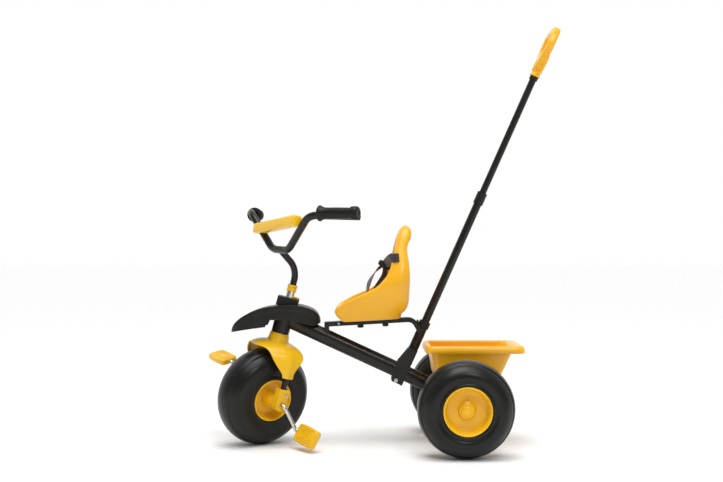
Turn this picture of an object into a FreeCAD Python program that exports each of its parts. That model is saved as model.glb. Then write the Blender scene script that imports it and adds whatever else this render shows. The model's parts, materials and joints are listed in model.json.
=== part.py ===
import FreeCAD, Part
import Sketcher
import math
import os
import re

# A child's tricycle with a parent's push pole, modelled as a parametric document.
# +X points forward, +Y to the rider's left and +Z up.  The ground is Z = 0.
# It stands as it is stored: steered to the left, with the cranks part way round.

V = FreeCAD.Vector
os.makedirs("parts", exist_ok=True)
doc = FreeCAD.newDocument("tricycle")

# ---------------------------------------------------------------- driving sizes
# Each row is an alias, its value in millimetres or degrees, and what it sets.
SIZES = [
    ("rear_axle_x", -202.585, "rear axle from the middle of the whole tricycle"),
    ("wheelbase", 502.4, "rear axle to front wheel centre"),
    ("track", 372.6, "between the rear wheels' mid planes"),
    ("rear_radius", 117.5, "rear tyre"),
    ("rear_width", 102, "rear tyre"),
    ("rear_crown", 60, "radius across the rear tread"),
    ("rear_bead", 59, "rear tyre's seat on the hub"),
    ("front_radius", 124.8, "front tyre"),
    ("front_width", 101.6, "front tyre"),
    ("front_crown", 60, "radius across the front tread"),
    ("front_bead", 54, "front tyre's seat on the hub"),
    ("groove_offset", 27, "tread grooves from the mid plane"),
    ("groove_depth", 2.2, "tread grooves"),
    ("hub_wall", 3, "wheel hub plastic"),
    ("hub_dish", 30, "depth of the hub's dished face"),
    ("hub_boss_radius", 15, "hub's centre tube"),
    ("cap_radius", 17.5, "domed hub cap"),
    ("cap_height", 17, "domed hub cap"),
    ("key_height", 4, "rib on the hub cap"),
    ("steer_angle", 38, "stored steering angle, to the left"),
    ("head_rake", 15, "steering axis from the vertical"),
    ("crank_angle", -130, "left crank, from straight ahead"),
    ("crank_length", 70, "axle to pedal spindle"),
    ("left_pedal_angle", -72, "left pedal's plate from level"),
    ("right_pedal_angle", -24, "right pedal's plate from level"),
    ("running_gap", 0.05, "radial clearance of a shaft in its bore"),
    ("free_gap", 0.5, "clearance between pieces that pass by"),
    ("tube_height", 40, "main tube, an upright oval"),
    ("tube_width", 32, "main tube"),
    ("tube_wall", 1.8, "main tube"),
    ("tube_tail", 24, "main tube past the rear axle"),
    ("tube_joint", 207, "main tube meets the head, up the steering axis"),
    ("head_radius", 23, "head tube"),
    ("head_wall", 2, "head tube"),
    ("head_bottom", 167.5, "head tube's foot, up the steering axis"),
    ("head_length", 82, "head tube"),
    ("bush_flange", 1.5, "head bushes' flange"),
    ("bush_depth", 14, "head bushes in the tube"),
    ("axle_tube_radius", 13, "cross tube that holds the rear axle"),
    ("axle_tube_wall", 2, "cross tube"),
    ("axle_radius", 5, "rear axle and crank axle"),
    ("washer_thick", 2, "washers beside the rear wheels"),
    ("washer_radius", 12, "washers beside the rear wheels"),
    ("nut_thick", 6, "axle end nuts"),
    ("pole_along", 158.6, "push pole up the main tube from the rear axle"),
    ("pole_lean", 24.05, "push pole from the vertical"),
    ("socket_radius", 12.4, "tube that the push pole stands in"),
    ("socket_top", 140, "socket's top above the main tube's centre line"),
    ("socket_foot", 30, "foot of the push pole above the same line"),
    ("socket_collar_radius", 14.6, "collar on the socket"),
    ("socket_collar_height", 18, "collar on the socket"),
    ("bracket_plate", 2.5, "bracket that clamps the socket to the main tube"),
    ("bracket_rise", 66, "bracket above the tube's centre line"),
    ("bracket_drop", 31, "bracket below the tube's centre line"),
    ("bracket_front", 25, "bracket in front of the pole's axis"),
    ("bracket_back", 11, "bracket behind the pole's axis"),
    ("bolt_radius", 3, "bracket bolt"),
    ("rail_thick", 12, "seat rail, a flat tube"),
    ("rail_width", 28, "seat rail"),
    ("rail_wall", 1.6, "seat rail"),
    ("rail_front", 345, "seat rail's foot ahead of the rear axle"),
    ("rail_foot", 9, "seat rail's centre line above the main tube there"),
    ("rail_slope", 3.2, "seat rail falls forward"),
    ("rail_bend", 24, "seat rail's rear bend"),
    ("rail_end", 112, "where the rail aims on the pole's axis, above the tube's line"),
    ("rail_corner", 118, "rail's rear corner ahead of the rear axle"),
    ("seat_back_x", 126, "seat's back ahead of the rear axle"),
    ("seat_length", 191, "seat pan, front to back"),
    ("seat_width", 196, "seat across its wings"),
    ("seat_wall", 4, "seat shell"),
    ("seat_slot_along", 64, "between the two seat bolts"),
    ("seat_travel", 20, "seat adjustment each way"),
    ("seat_bolt_radius", 4, "seat bolts"),
    ("strap_width", 22, "harness webbing"),
    ("strap_thick", 2, "harness webbing"),
    ("steerer_radius", 11, "chromed steering tube"),
    ("steerer_top", 291, "chromed tube's top, up the steering axis"),
    ("fork_radius", 7.5, "fork tube"),
    ("fork_leg_offset", 78, "fork legs from the wheel's mid plane"),
    ("fork_knee", 78, "fork legs' knee above the wheel centre"),
    ("fork_top", 136, "fork's cross bar above the wheel centre"),
    ("fork_shoulder", 31, "fork's cross bar, half its length"),
    ("fender_wall", 2.5, "front mudguard"),
    ("fender_top", 148, "front mudguard above the wheel centre"),
    ("fender_foot", 66, "front mudguard's sleeves above the wheel centre"),
    ("fender_flat", 40, "half the mudguard's flat top, across"),
    ("fender_half", 88, "half the mudguard's width at its sleeves"),
    ("fender_front", 60, "mudguard ahead of the steering axis"),
    ("fender_back", 46, "mudguard behind the steering axis"),
    ("fender_collar_radius", 23.5, "mudguard's collar under the head"),
    ("fork_end_inner", 67, "axle bearing blocks, inner face"),
    ("fork_end_outer", 88, "axle bearing blocks, outer face"),
    ("fork_end_half", 15, "axle bearing blocks, half width"),
    ("fork_end_rise", 38, "axle bearing blocks above the axle"),
    ("fork_end_drop", 17, "axle bearing blocks below the axle"),
    ("lock_collar_radius", 13, "collar that clamps the handlebar stem"),
    ("lock_collar_height", 17, "collar that clamps the handlebar stem"),
    ("stem_radius", 8.55, "handlebar stem"),
    ("axle_end", 33, "rear axle beyond the wheel's mid plane"),
    ("nut_radius", 8, "axle end nuts"),
    ("stem_wall", 1.8, "handlebar stem"),
    ("stem_bottom", 215, "handlebar stem's foot, up the steering axis"),
    ("stem_knee", 336, "handlebar stem's corner, up the steering axis"),
    ("stem_reach", 62, "handlebar ahead of the steering axis"),
    ("stem_rise", 37.5, "handlebar above the stem's corner"),
    ("stem_bend", 55, "handlebar stem's bend"),
    ("bar_radius", 9.5, "handlebar"),
    ("bar_wall", 1.6, "handlebar"),
    ("bar_flat", 37, "handlebar's lower corners, from its middle"),
    ("bar_forward", 26, "handlebar's upper corners, ahead of its middle"),
    ("bar_half", 136, "handlebar's upper corners, from its middle"),
    ("bar_rise", 87, "handlebar's upper corners, above its middle"),
    ("bar_bend", 45, "handlebar's bends"),
    ("bar_sweep", 32, "grips swept back"),
    ("bar_lift", 7, "grips tilted up"),
    ("grip_start", 32, "grips' flange from the upper corner"),
    ("bar_swivel", -5.5, "stored turn of the bar on the steering axis"),
    ("bar_roll", 7.2, "stored tilt of the bar across its stem"),
    ("grip_length", 104, "grips"),
    ("grip_flange", 19.5, "grips' inner flange radius"),
    ("grip_radius", 13.6, "grips"),
    ("pad_height", 27, "pad across the handlebar"),
    ("pad_depth", 26, "pad across the handlebar"),
    ("pad_share", 0.68, "pad's height, as a share of the handlebar's rise"),
    ("console_width", 92, "fairing over the head tube"),
    ("console_wall", 2.5, "fairing over the head tube"),
    ("turret_top", 260, "lock housing's top, up the steering axis"),
    ("turret_foot", 236, "lock housing's foot, up the steering axis"),
    ("turret_length", 54, "lock housing along the tricycle"),
    ("turret_width", 50, "lock housing across the tricycle"),
    ("lever_width", 24, "steering lock lever"),
    ("lever_thick", 4, "steering lock lever"),
    ("pedal_length", 74, "pedal along its spindle"),
    ("pedal_width", 46, "pedal across its spindle"),
    ("pedal_thick", 20, "pedal"),
    ("pedal_inner", 126, "pedal's inner end from the wheel's mid plane"),
    ("crank_bend", 12, "crank rod's bends"),
    ("crank_out", 100, "crank's first corner from the wheel's mid plane"),
    ("tray_half", 96, "tipper tray's rim, half its width"),
    ("tray_front", 90, "tray's rim ahead of the rear axle"),
    ("tray_back", 158, "tray's rim behind the rear axle"),
    ("tray_top", 258, "tray's rim above the ground"),
    ("tray_floor", 179, "tray's underside above the ground"),
    ("tray_wall", 3, "tray"),
    ("tray_lip", 18, "tray's rim, turned out and down"),
    ("support_width", 60, "tray's support across the tricycle"),
    ("pole_radius", 10.3, "push pole's lower tube"),
    ("pole_length", 462, "push pole's lower tube"),
    ("upper_radius", 8.75, "push pole's upper tube"),
    ("upper_wall", 1.5, "push pole's upper tube"),
    ("upper_shown", 318, "upper tube above the middle collar"),
    ("upper_hidden", 70, "upper tube inside the lower tube"),
    ("mid_collar_radius", 12.8, "push pole's middle collar"),
    ("mid_collar_height", 32, "push pole's middle collar"),
    ("handle_collar_height", 9, "ring under the push handle"),
    ("handle_sleeve_radius", 13.5, "push handle's sleeve"),
    ("handle_sleeve_height", 44, "push handle's sleeve"),
    ("handle_rise", 142, "push handle above the upper tube's collar"),
    ("handle_half", 58, "half the push handle's width"),
    ("handle_grip_radius", 10.5, "push handle's loop"),
]

sheet = doc.addObject("Spreadsheet::Sheet", "Sizes")
for row, (alias, number, note) in enumerate(SIZES, start=1):
    sheet.set(f"A{row}", alias)
    sheet.set(f"B{row}", str(number))
    sheet.setAlias(f"B{row}", alias)
    sheet.set(f"C{row}", note)
doc.recompute()

ALIASES = {alias for alias, number, note in SIZES}


def size(alias):
    """A driving size, read from the sheet."""
    return float(sheet.get(alias))


def value(text):
    """The number that a formula of sums and products of sizes stands for."""
    if not isinstance(text, str):
        return text
    total = 0.0
    for term in text.replace(" ", "").replace("-", "+-").split("+"):
        if not term:
            continue
        product = 1.0
        if term.startswith("-"):
            product = -1.0
            term = term[1:]
        for factor in term.split("*"):
            product *= size(factor) if factor in ALIASES else float(factor)
        total += product
    return total


def bind(thing, prop, amount):
    """Tie a property to a formula of the sheet's sizes, or set it to a number worked out from them."""
    if isinstance(amount, str):
        thing.setExpression(prop, re.sub(r"[a-z][a-z_]+", lambda word: "Sizes." + word.group(0), amount))
    else:
        setattr(thing, prop, amount)


# ---------------------------------------------------------------- places
def frame_place(base, along, across):
    """A placement with its X axis along one direction and its Y axis across it."""
    up = along.cross(across)
    return FreeCAD.Placement(base, FreeCAD.Rotation(along, across, up, "ZXY"))


def turned(place, degrees, axis=V(0, 0, 1)):
    """The same placement turned about one of its own axes."""
    return place.multiply(FreeCAD.Placement(V(), FreeCAD.Rotation(axis, degrees)))


def moved(place, x, y, z):
    """The same placement moved along its own axes."""
    return place.multiply(FreeCAD.Placement(V(x, y, z), FreeCAD.Rotation()))


LEFT = V(0, 1, 0)
rake = math.radians(size("head_rake"))
steer = math.radians(size("steer_angle"))
wheel_tilt = math.asin(math.sin(rake) * math.sin(steer))
# The raked and steered wheel stands on the side of its rounded tread.
front_axle_z = (size("front_radius") - size("front_crown")) * math.cos(wheel_tilt) + size("front_crown")

AXLE = V(size("rear_axle_x"), 0, size("rear_radius"))
WHEEL = V(size("rear_axle_x") + size("wheelbase"), 0, front_axle_z)
STEER_AXIS = V(-math.sin(rake), 0, math.cos(rake))

# Head: Z up the steering axis from the front wheel's centre, X forward.
HEAD = frame_place(WHEEL, V(math.cos(rake), 0, math.sin(rake)), LEFT)
# Fork: the same, turned with the steering.
FORK = turned(HEAD, size("steer_angle"))
joint_point = WHEEL + STEER_AXIS * size("tube_joint")
tube_run = joint_point - AXLE
tube_slope = math.atan2(tube_run.z, tube_run.x)
# Tube: X up the main tube's centre line from the rear axle, Z out of its top.
TUBE = frame_place(AXLE, V(math.cos(tube_slope), 0, math.sin(tube_slope)), LEFT)
# Pole: Z up the push pole from the main tube's centre line, X forward.
lean = math.radians(size("pole_lean"))
pole_foot = TUBE.multVec(V(size("pole_along"), 0, 0))
POLE = frame_place(pole_foot, V(math.cos(lean), 0, math.sin(lean)), LEFT)
# Bar: the middle of the handlebar, with its own swivel and tilt on the stem.
STEM = turned(FORK, size("bar_swivel"))
bar_middle = V(size("stem_reach"), 0, size("stem_knee") + size("stem_rise"))
stem_end_axis = V(size("stem_reach"), 0, size("stem_rise"))
BAR = turned(moved(STEM, *bar_middle), size("bar_roll"), stem_end_axis)


nodes = {}


def node(thing, name):
    """Name a finished sub-part; its name is its file's name."""
    thing.Label = name
    if thing.Label != name:
        raise RuntimeError(f"another object is already called {name}")
    nodes[name] = thing
    return thing


# ---------------------------------------------------------------- building helpers
def origin_plane(body, role):
    return next(plane for plane in body.Origin.OriginFeatures if plane.Role == role)


def new_body(name, role):
    """A PartDesign body with an empty sketch on one of its own origin planes."""
    body = doc.addObject("PartDesign::Body", name)
    sketch = body.newObject("Sketcher::SketchObject", name + "_outline")
    sketch.AttachmentSupport = [(origin_plane(body, role), "")]
    sketch.MapMode = "FlatFace"
    return body, sketch


def pin_vertex(sketch, line, across, up):
    """Hold the start of a sketch line at two formulas from the sketch's origin."""
    for kind, text, axis in (("DistanceX", across, -2), ("DistanceY", up, -1)):
        if abs(value(text)) < 1e-9:
            sketch.addConstraint(Sketcher.Constraint("PointOnObject", line, 1, axis))
        else:
            index = sketch.addConstraint(Sketcher.Constraint(kind, -1, 1, line, 1, value(text)))
            bind(sketch, f"Constraints[{index}]", text)


def closed_outline(sketch, corners):
    """A closed polygon whose corners are pairs of formulas."""
    points = [V(value(across), value(up), 0) for across, up in corners]
    count = len(points)
    for i in range(count):
        sketch.addGeometry(Part.LineSegment(points[i], points[(i + 1) % count]), False)
    for i in range(count):
        sketch.addConstraint(Sketcher.Constraint("Coincident", i, 2, (i + 1) % count, 1))
    for i, (across, up) in enumerate(corners):
        pin_vertex(sketch, i, across, up)


def round_outline(sketch, radius):
    """A circle about the sketch's origin."""
    index = sketch.addGeometry(Part.Circle(V(), V(0, 0, 1), value(radius)), False)
    sketch.addConstraint(Sketcher.Constraint("Coincident", index, 3, -1, 1))
    radius_index = sketch.addConstraint(Sketcher.Constraint("Radius", index, value(radius)))
    bind(sketch, f"Constraints[{radius_index}]", radius)


def ring(name, outer, inner, length, place):
    """A round tube or ring along its own Z axis."""
    body, sketch = new_body(name, "XY_Plane")
    round_outline(sketch, outer)
    round_outline(sketch, inner)
    pad = body.newObject("PartDesign::Pad", name + "_pad")
    pad.Profile = sketch
    bind(pad, "Length", length)
    body.Placement = place
    return body


def turning(name, corners, place):
    """A turned piece: an outline of radii and heights, revolved about its own Z axis."""
    body, sketch = new_body(name, "XZ_Plane")
    closed_outline(sketch, corners)
    turn = body.newObject("PartDesign::Revolution", name + "_turn")
    turn.Profile = sketch
    turn.ReferenceAxis = (sketch, ["V_Axis"])
    turn.Angle = 360
    body.Placement = place
    return body


def plate(name, corners, thickness, place):
    """A flat plate: an outline in its own XY plane, padded up."""
    body, sketch = new_body(name, "XY_Plane")
    closed_outline(sketch, corners)
    pad = body.newObject("PartDesign::Pad", name + "_pad")
    pad.Profile = sketch
    bind(pad, "Length", thickness)
    body.Placement = place
    return body


def cylinder(name, radius, length, place):
    rod = doc.addObject("Part::Cylinder", name)
    bind(rod, "Radius", radius)
    bind(rod, "Height", length)
    rod.Placement = place
    return rod


def box(name, length, width, height, place):
    """A box with its length along X and centred on it, as is its width on Y."""
    block = doc.addObject("Part::Box", name)
    bind(block, "Length", length)
    bind(block, "Width", width)
    bind(block, "Height", height)
    block.Placement = moved(place, -value(length) / 2, -value(width) / 2, 0)
    return block


def cut(name, base, *tools):
    """The base with each tool taken away."""
    for number, tool in enumerate(tools, start=1):
        step = doc.addObject("Part::Cut", f"{name}_cut{number}")
        step.Base = base
        step.Tool = tool
        base = step
    return base


def fuse(name, *pieces):
    union = doc.addObject("Part::MultiFuse", name + "_fuse")
    union.Shapes = list(pieces)
    union.Refine = True
    return union


def group(name, *pieces):
    """Identical pieces kept as separate solids in one sub-part."""
    compound = doc.addObject("Part::Compound", name + "_group")
    compound.Links = list(pieces)
    return compound


def free_form(name, shape, place):
    """A sub-part whose shape no primitive or sketch gives."""
    piece = doc.addObject("Part::Feature", name + "_form")
    piece.Shape = shape
    piece.Placement = place
    return piece


def rounded_path(points, radii):
    """A wire of straight runs whose corners are tangent arcs."""
    edges = []
    start = points[0]
    for corner, after, radius in zip(points[1:-1], points[2:], radii):
        into = (corner - start).normalize()
        out = (after - corner).normalize()
        turn = into.getAngle(out)
        reach = radius * math.tan(turn / 2)
        arc_start = corner - into * reach
        arc_end = corner + out * reach
        inward = (out - into).normalize()
        centre = corner + inward * (radius / math.cos(turn / 2))
        middle = centre - inward * radius
        if (arc_start - start).Length > 1e-6:
            edges.append(Part.LineSegment(start, arc_start).toShape())
        edges.append(Part.Arc(arc_start, middle, arc_end).toShape())
        start = arc_end
    edges.append(Part.LineSegment(start, points[-1]).toShape())
    return Part.Wire(edges)


def swept(path, outline):
    return path.makePipeShell([outline], True, False)


def bent_rod(points, radii, radius):
    """A round rod along a path with rounded corners."""
    outline = Part.Wire([Part.makeCircle(radius, points[0], points[1] - points[0])])
    return swept(rounded_path(points, radii), outline)


def bent_tube(points, radii, radius, wall):
    return bent_rod(points, radii, radius).cut(bent_rod(points, radii, radius - wall))


def flat_outline(points):
    """A face from corner points."""
    return Part.Face(Part.makePolygon(list(points) + [points[0]]))


def smooth_face(points):
    """A face inside one closed smooth curve."""
    curve = Part.BSplineCurve()
    curve.interpolate(Points=list(points), PeriodicFlag=True)
    return Part.Face(Part.Wire([curve.toShape()]))


def side_face(outline):
    """A face in the XZ plane from pairs of X and Z."""
    return flat_outline([V(x, 0, z) for x, z in outline])


def across(face, half):
    """A solid from a face in the XZ plane, as wide on both sides of it."""
    solid = face.copy()
    solid.translate(V(0, -half, 0))
    return solid.extrude(V(0, 2 * half, 0))


def oval(name, shrink, start, length):
    """An upright oval bar along the main tube, thinner all round by one formula."""
    outline = doc.addObject("Part::Ellipse", name + "_oval")
    bind(outline, "MajorRadius", "tube_height*0.5 - " + shrink)
    bind(outline, "MinorRadius", "tube_width*0.5 - " + shrink)
    bar = doc.addObject("Part::Extrusion", name)
    bar.Base = outline
    bar.DirMode = "Custom"
    bar.Dir = V(0, 0, 1)
    bar.Solid = True
    bar.LengthFwd = length
    upright = FreeCAD.Rotation(V(0, 0, 1), V(0, -1, 0), V(1, 0, 0), "ZXY")
    bar.Placement = moved(TUBE, start, 0, 0).multiply(FreeCAD.Placement(V(), upright))
    return bar


def axle_line(offset, side=1):
    """On the rear axle, this far out to one side, with Z pointing outwards."""
    place = moved(FreeCAD.Placement(AXLE, FreeCAD.Rotation()), 0, side * offset, 0)
    return turned(place, -90 * side, V(1, 0, 0))


def wheel_line(offset, side=1):
    """On the front axle, this far out to one side, with Z pointing outwards."""
    return turned(moved(FORK, 0, side * offset, 0), -90 * side, V(1, 0, 0))


# ---------------------------------------------------------------- frame
tube_start = -size("tube_tail")
tube_full = tube_run.Length + size("tube_tail")
half_track = size("track") / 2
wheel_inner = half_track - size("rear_width") / 2
axle_tube_half = wheel_inner - size("washer_thick") - size("bush_flange") - 2 * size("free_gap")
head_low = moved(HEAD, 0, 0, size("head_bottom"))
head_high = moved(HEAD, 0, 0, size("head_bottom") + size("head_length"))

head_block = cylinder("head_block", "head_radius", "head_length", head_low)
axle_block = cylinder("axle_block", "axle_tube_radius", 2 * axle_tube_half, axle_line(-axle_tube_half))
outer_oval = oval("tube_outer", "0", tube_start, tube_full)
inner_oval = oval("tube_inner", "tube_wall", tube_start - 1, tube_full + 2)
node(cut("main_tube", outer_oval, inner_oval, head_block, axle_block), "main_tube")
node(oval("tail_plug", "0", tube_start - 4, 4), "tail_plug")

node(ring("head", "head_radius", "head_radius - head_wall", "head_length", head_low), "head_tube")
BUSH = [
    ("steerer_radius + running_gap", "0 - bush_flange"),
    ("head_radius", "0 - bush_flange"),
    ("head_radius", "0"),
    ("head_radius - head_wall", "0"),
    ("head_radius - head_wall", "bush_depth"),
    ("steerer_radius + running_gap", "bush_depth"),
]
node(group("head_bushes", turning("lower_bush", BUSH, head_low),
           turning("upper_bush", BUSH, turned(head_high, 180, V(1, 0, 0)))), "head_bushes")

node(ring("cross_tube", "axle_tube_radius", "axle_tube_radius - axle_tube_wall", 2 * axle_tube_half,
          axle_line(-axle_tube_half)), "axle_tube")
AXLE_BUSH = [
    ("axle_radius", "0"),
    ("axle_tube_radius - axle_tube_wall", "0"),
    ("axle_tube_radius - axle_tube_wall", "bush_depth"),
    ("axle_tube_radius", "bush_depth"),
    ("axle_tube_radius", "bush_depth + bush_flange"),
    ("axle_radius", "bush_depth + bush_flange"),
]
axle_half = half_track + size("axle_end")
node(group("axle_bushes", *[
    turning(f"axle_bush_{name}", AXLE_BUSH, axle_line(axle_tube_half - size("bush_depth"), side))
    for name, side in (("left", 1), ("right", -1))
]), "axle_bushes")
node(cylinder("axle_rod", "axle_radius", 2 * axle_half, axle_line(-axle_half)), "rear_axle")
washer_at = wheel_inner - size("washer_thick") - size("free_gap")
node(group("axle_washers", *[
    ring(f"axle_washer_{name}", "washer_radius", "axle_radius", "washer_thick", axle_line(washer_at, side))
    for name, side in (("left", 1), ("right", -1))
]), "axle_washers")
node(group("axle_nuts", *[
    ring(f"axle_nut_{name}", "nut_radius", "axle_radius", "nut_thick",
         axle_line(axle_half - size("nut_thick"), side))
    for name, side in (("left", 1), ("right", -1))
]), "axle_nuts")

# ---------------------------------------------------------------- push pole's socket
socket_bore = "pole_radius + running_gap"
socket_tube = ring("socket_tube", "socket_radius", socket_bore, "socket_top", POLE)
socket_trim = oval("socket_trim", "0", 0, tube_full)
node(cut("pole_socket", socket_tube, socket_trim), "pole_socket")

bracket_corners = [
    ("bracket_back", "bracket_rise"),
    ("0 - socket_radius", "bracket_rise"),
    ("0 - bracket_front", "bracket_rise*0.3"),
    ("0 - bracket_front", "0 - bracket_drop*0.4"),
    ("0 - bracket_front*0.75", "0 - bracket_drop"),
    ("bracket_back", "0 - bracket_drop"),
]


def bracket_side(name, side):
    """One cheek of the bracket, flat against the main tube's side."""
    inner = size("tube_width") / 2
    foot = inner if side > 0 else -inner - size("bracket_plate")
    upright = FreeCAD.Rotation(V(-1, 0, 0), V(0, 0, 1), V(0, 1, 0), "ZXY")
    place = moved(TUBE, size("pole_along"), foot, 0).multiply(FreeCAD.Placement(V(), upright))
    return plate(name, bracket_corners, "bracket_plate", place)


web_place = moved(TUBE, size("pole_along") + (size("socket_radius") + size("bracket_front")) / 2 - 3, 0,
                  size("bracket_rise") * 0.35)
bracket_web = box("bracket_web", "bracket_plate", "tube_width", "bracket_rise*0.5",
                  turned(web_place, -6, LEFT))
bracket_solid = fuse("bracket", bracket_side("cheek_left", 1), bracket_side("cheek_right", -1), bracket_web)
bolt_half = size("tube_width") / 2 + size("bracket_plate")
bolt_place = turned(moved(TUBE, size("pole_along") + size("bracket_front") * 0.35, -bolt_half,
                          -size("bracket_drop") + size("bolt_radius") + 3.5), -90, V(1, 0, 0))
bolt_hole = cylinder("bolt_hole", "bolt_radius", "tube_width + 2*bracket_plate", bolt_place)
socket_hole = cylinder("socket_hole", "socket_radius", "socket_top", POLE)
node(cut("pole_bracket", bracket_solid, bolt_hole, socket_hole), "pole_bracket")
bolt_shank = cylinder("bolt_shank", "bolt_radius", "tube_width + 2*bracket_plate + 7", bolt_place)
bolt_head = cylinder("bolt_head", "bolt_radius*1.8", "4", moved(bolt_place, 0, 0, -4))
node(fuse("bracket_bolt", bolt_shank, bolt_head), "bracket_bolt")
node(ring("bracket_nut", "bolt_radius*1.7", "bolt_radius", "5", moved(bolt_place, 0, 0, 2 * bolt_half)),
     "bracket_nut")

collar_at = size("socket_top") - size("socket_collar_height") + 3
COLLAR = [
    ("socket_radius", "0"),
    ("socket_collar_radius", "0"),
    ("socket_collar_radius", "socket_collar_height"),
    ("pole_radius + running_gap", "socket_collar_height"),
    ("pole_radius + running_gap", "socket_collar_height - 3"),
    ("socket_radius", "socket_collar_height - 3"),
]
socket_collar = turning("socket_cap", COLLAR, moved(POLE, 0, 0, collar_at))
screw_place = turned(moved(POLE, size("socket_radius"), 0, collar_at + size("socket_collar_height") * 0.45),
                     90, LEFT)
screw_hole = cylinder("screw_hole", "2.5", "8", screw_place)
collar_piece = cut("socket_collar", socket_collar, screw_hole)
node(collar_piece, "socket_collar")
screw_shank = cylinder("screw_shank", "2.5", "4", screw_place)
screw_knob = cylinder("screw_knob", "6", "5", moved(screw_place, 0, 0, 4))
screw_piece = fuse("socket_screw", screw_shank, screw_knob)
node(screw_piece, "socket_screw")

# ---------------------------------------------------------------- seat rail
WORLD = FreeCAD.Placement()
rail_tilt = math.radians(size("rail_slope"))
tube_rise = math.tan(tube_slope)


def tube_line(x):
    """Height of the main tube's centre line this far ahead of the rear axle."""
    return AXLE.z + x * tube_rise


rail_x = size("rail_front")
rail_z = tube_line(rail_x) + size("tube_height") / 2 / math.cos(tube_slope) + size("rail_foot")
rail_start = AXLE.x + rail_x
corner_x = size("rail_corner")
corner_z = rail_z + (rail_x - corner_x) * math.tan(rail_tilt)
rail_target = POLE.multVec(V(0, 0, size("rail_end")))
rail_route = [V(rail_start, 0, rail_z), V(AXLE.x + corner_x, 0, corner_z), rail_target]


def rail_outline(shrink):
    """The rail's section at its front end, thinner all round by a wall."""
    half_y = size("rail_width") / 2 - shrink
    half_z = size("rail_thick") / 2 - shrink
    corners = [V(rail_start, y, rail_z + z) for y, z in
               ((half_y, half_z), (-half_y, half_z), (-half_y, -half_z), (half_y, -half_z))]
    return Part.makePolygon(corners + [corners[0]])


rail_path = rounded_path(rail_route, [size("rail_bend")])
rail_solid = swept(rail_path, rail_outline(0)).cut(swept(rail_path, rail_outline(size("rail_wall"))))
# Rail: X forward along the rail, Z out of its top, from under the seat's back.
RAIL = frame_place(V(AXLE.x + size("seat_back_x"), 0,
                     rail_z + (rail_x - size("seat_back_x")) * math.tan(rail_tilt)
                     + size("rail_thick") / 2 / math.cos(rail_tilt)),
                   V(math.cos(rail_tilt), 0, -math.sin(rail_tilt)), LEFT)
rail_bar = free_form("rail", rail_solid, WORLD)
seat_middle = size("seat_length") / 2
bolt_spots = [seat_middle - size("seat_slot_along") / 2, seat_middle + size("seat_slot_along") / 2]
slots = []
for number, spot in enumerate(bolt_spots, start=1):
    slot_place = moved(RAIL, spot, 0, -size("rail_thick") - 2)
    slots.append(box(f"rail_slot{number}", "2*seat_travel + 2*seat_bolt_radius + 2*free_gap",
                     "2*seat_bolt_radius + 2*free_gap", "rail_thick + 4", slot_place))
socket_block = cylinder("socket_block", "socket_radius", "socket_top", POLE)
node(cut("seat_rail", rail_bar, socket_block, collar_piece, screw_piece, *slots), "seat_rail")

foot_box = box("rail_foot_box", "rail_thick", "rail_width", "tube_height*0.6",
               FreeCAD.Placement(V(rail_start - size("rail_thick") / 2, 0,
                                   rail_z - size("tube_height") * 0.6 - 1), FreeCAD.Rotation()))
foot_oval = oval("rail_foot_oval", "0", tube_start, tube_full)
rail_block = free_form("rail_block", swept(rail_path, rail_outline(0)), WORLD)
node(cut("rail_foot", foot_box, foot_oval, rail_block), "rail_foot")
rivet_place = turned(moved(RAIL, rail_x - size("seat_back_x") - 36, 0, -size("rail_thick") / 2),
                     -90, V(1, 0, 0))
node(group("rail_rivets", *[
    cylinder(f"rail_rivet_{name}", "2.6", "1.4",
             moved(turned(rivet_place, flip, V(1, 0, 0)), 0, 0, size("rail_width") / 2))
    for name, flip in (("left", 0), ("right", 180))
]), "rail_rivets")

# ---------------------------------------------------------------- tipper tray
AXLE_FRAME = FreeCAD.Placement(V(AXLE.x, 0, 0), FreeCAD.Rotation())


def rounded_frame(back, front, half, z, radius):
    """A level rectangle with rounded corners, as a wire."""
    corners = [V(back, -half, z), V(front, -half, z), V(front, half, z), V(back, half, z)]
    edges = []
    for i in range(4):
        corner = corners[i]
        after = corners[(i + 1) % 4]
        run = (after - corner).normalize()
        turn_in = (corners[i - 1] - corner).normalize()
        arc_start = corner + turn_in * radius
        arc_end = corner + run * radius
        middle = corner + (turn_in + run) * (radius * (1 - math.sqrt(0.5)))
        edges.append(Part.Arc(arc_start, middle, arc_end).toShape())
        edges.append(Part.LineSegment(arc_end, after - run * radius).toShape())
    return Part.Wire(edges)


wall = size("tray_wall")
top = size("tray_top")
floor_z = size("tray_floor")
rim_back = -size("tray_back")
rim_front = size("tray_front")
rim_half = size("tray_half")
mouth_back = rim_back + 24
mouth_front = rim_front - 12
mouth_half = rim_half - 7
foot_back = mouth_back + 36
foot_front = mouth_front - 12
foot_half = mouth_half - 10


def tray_body(shrink, low, high):
    """The tray's sloping walls, narrowed all round and cut off at two levels."""
    wires = []
    for z in (low, high):
        part = (z - floor_z) / (top - floor_z)
        wires.append(rounded_frame(foot_back + (mouth_back - foot_back) * part + shrink,
                                   foot_front + (mouth_front - foot_front) * part - shrink,
                                   foot_half + (mouth_half - foot_half) * part - shrink, z, 16 - shrink))
    return Part.makeLoft(wires, True, True)


def rim_block(inset, low, high):
    base = Part.Face(rounded_frame(rim_back + inset, rim_front - inset, rim_half - inset, low, 20 - inset))
    return base.extrude(V(0, 0, high - low))


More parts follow.
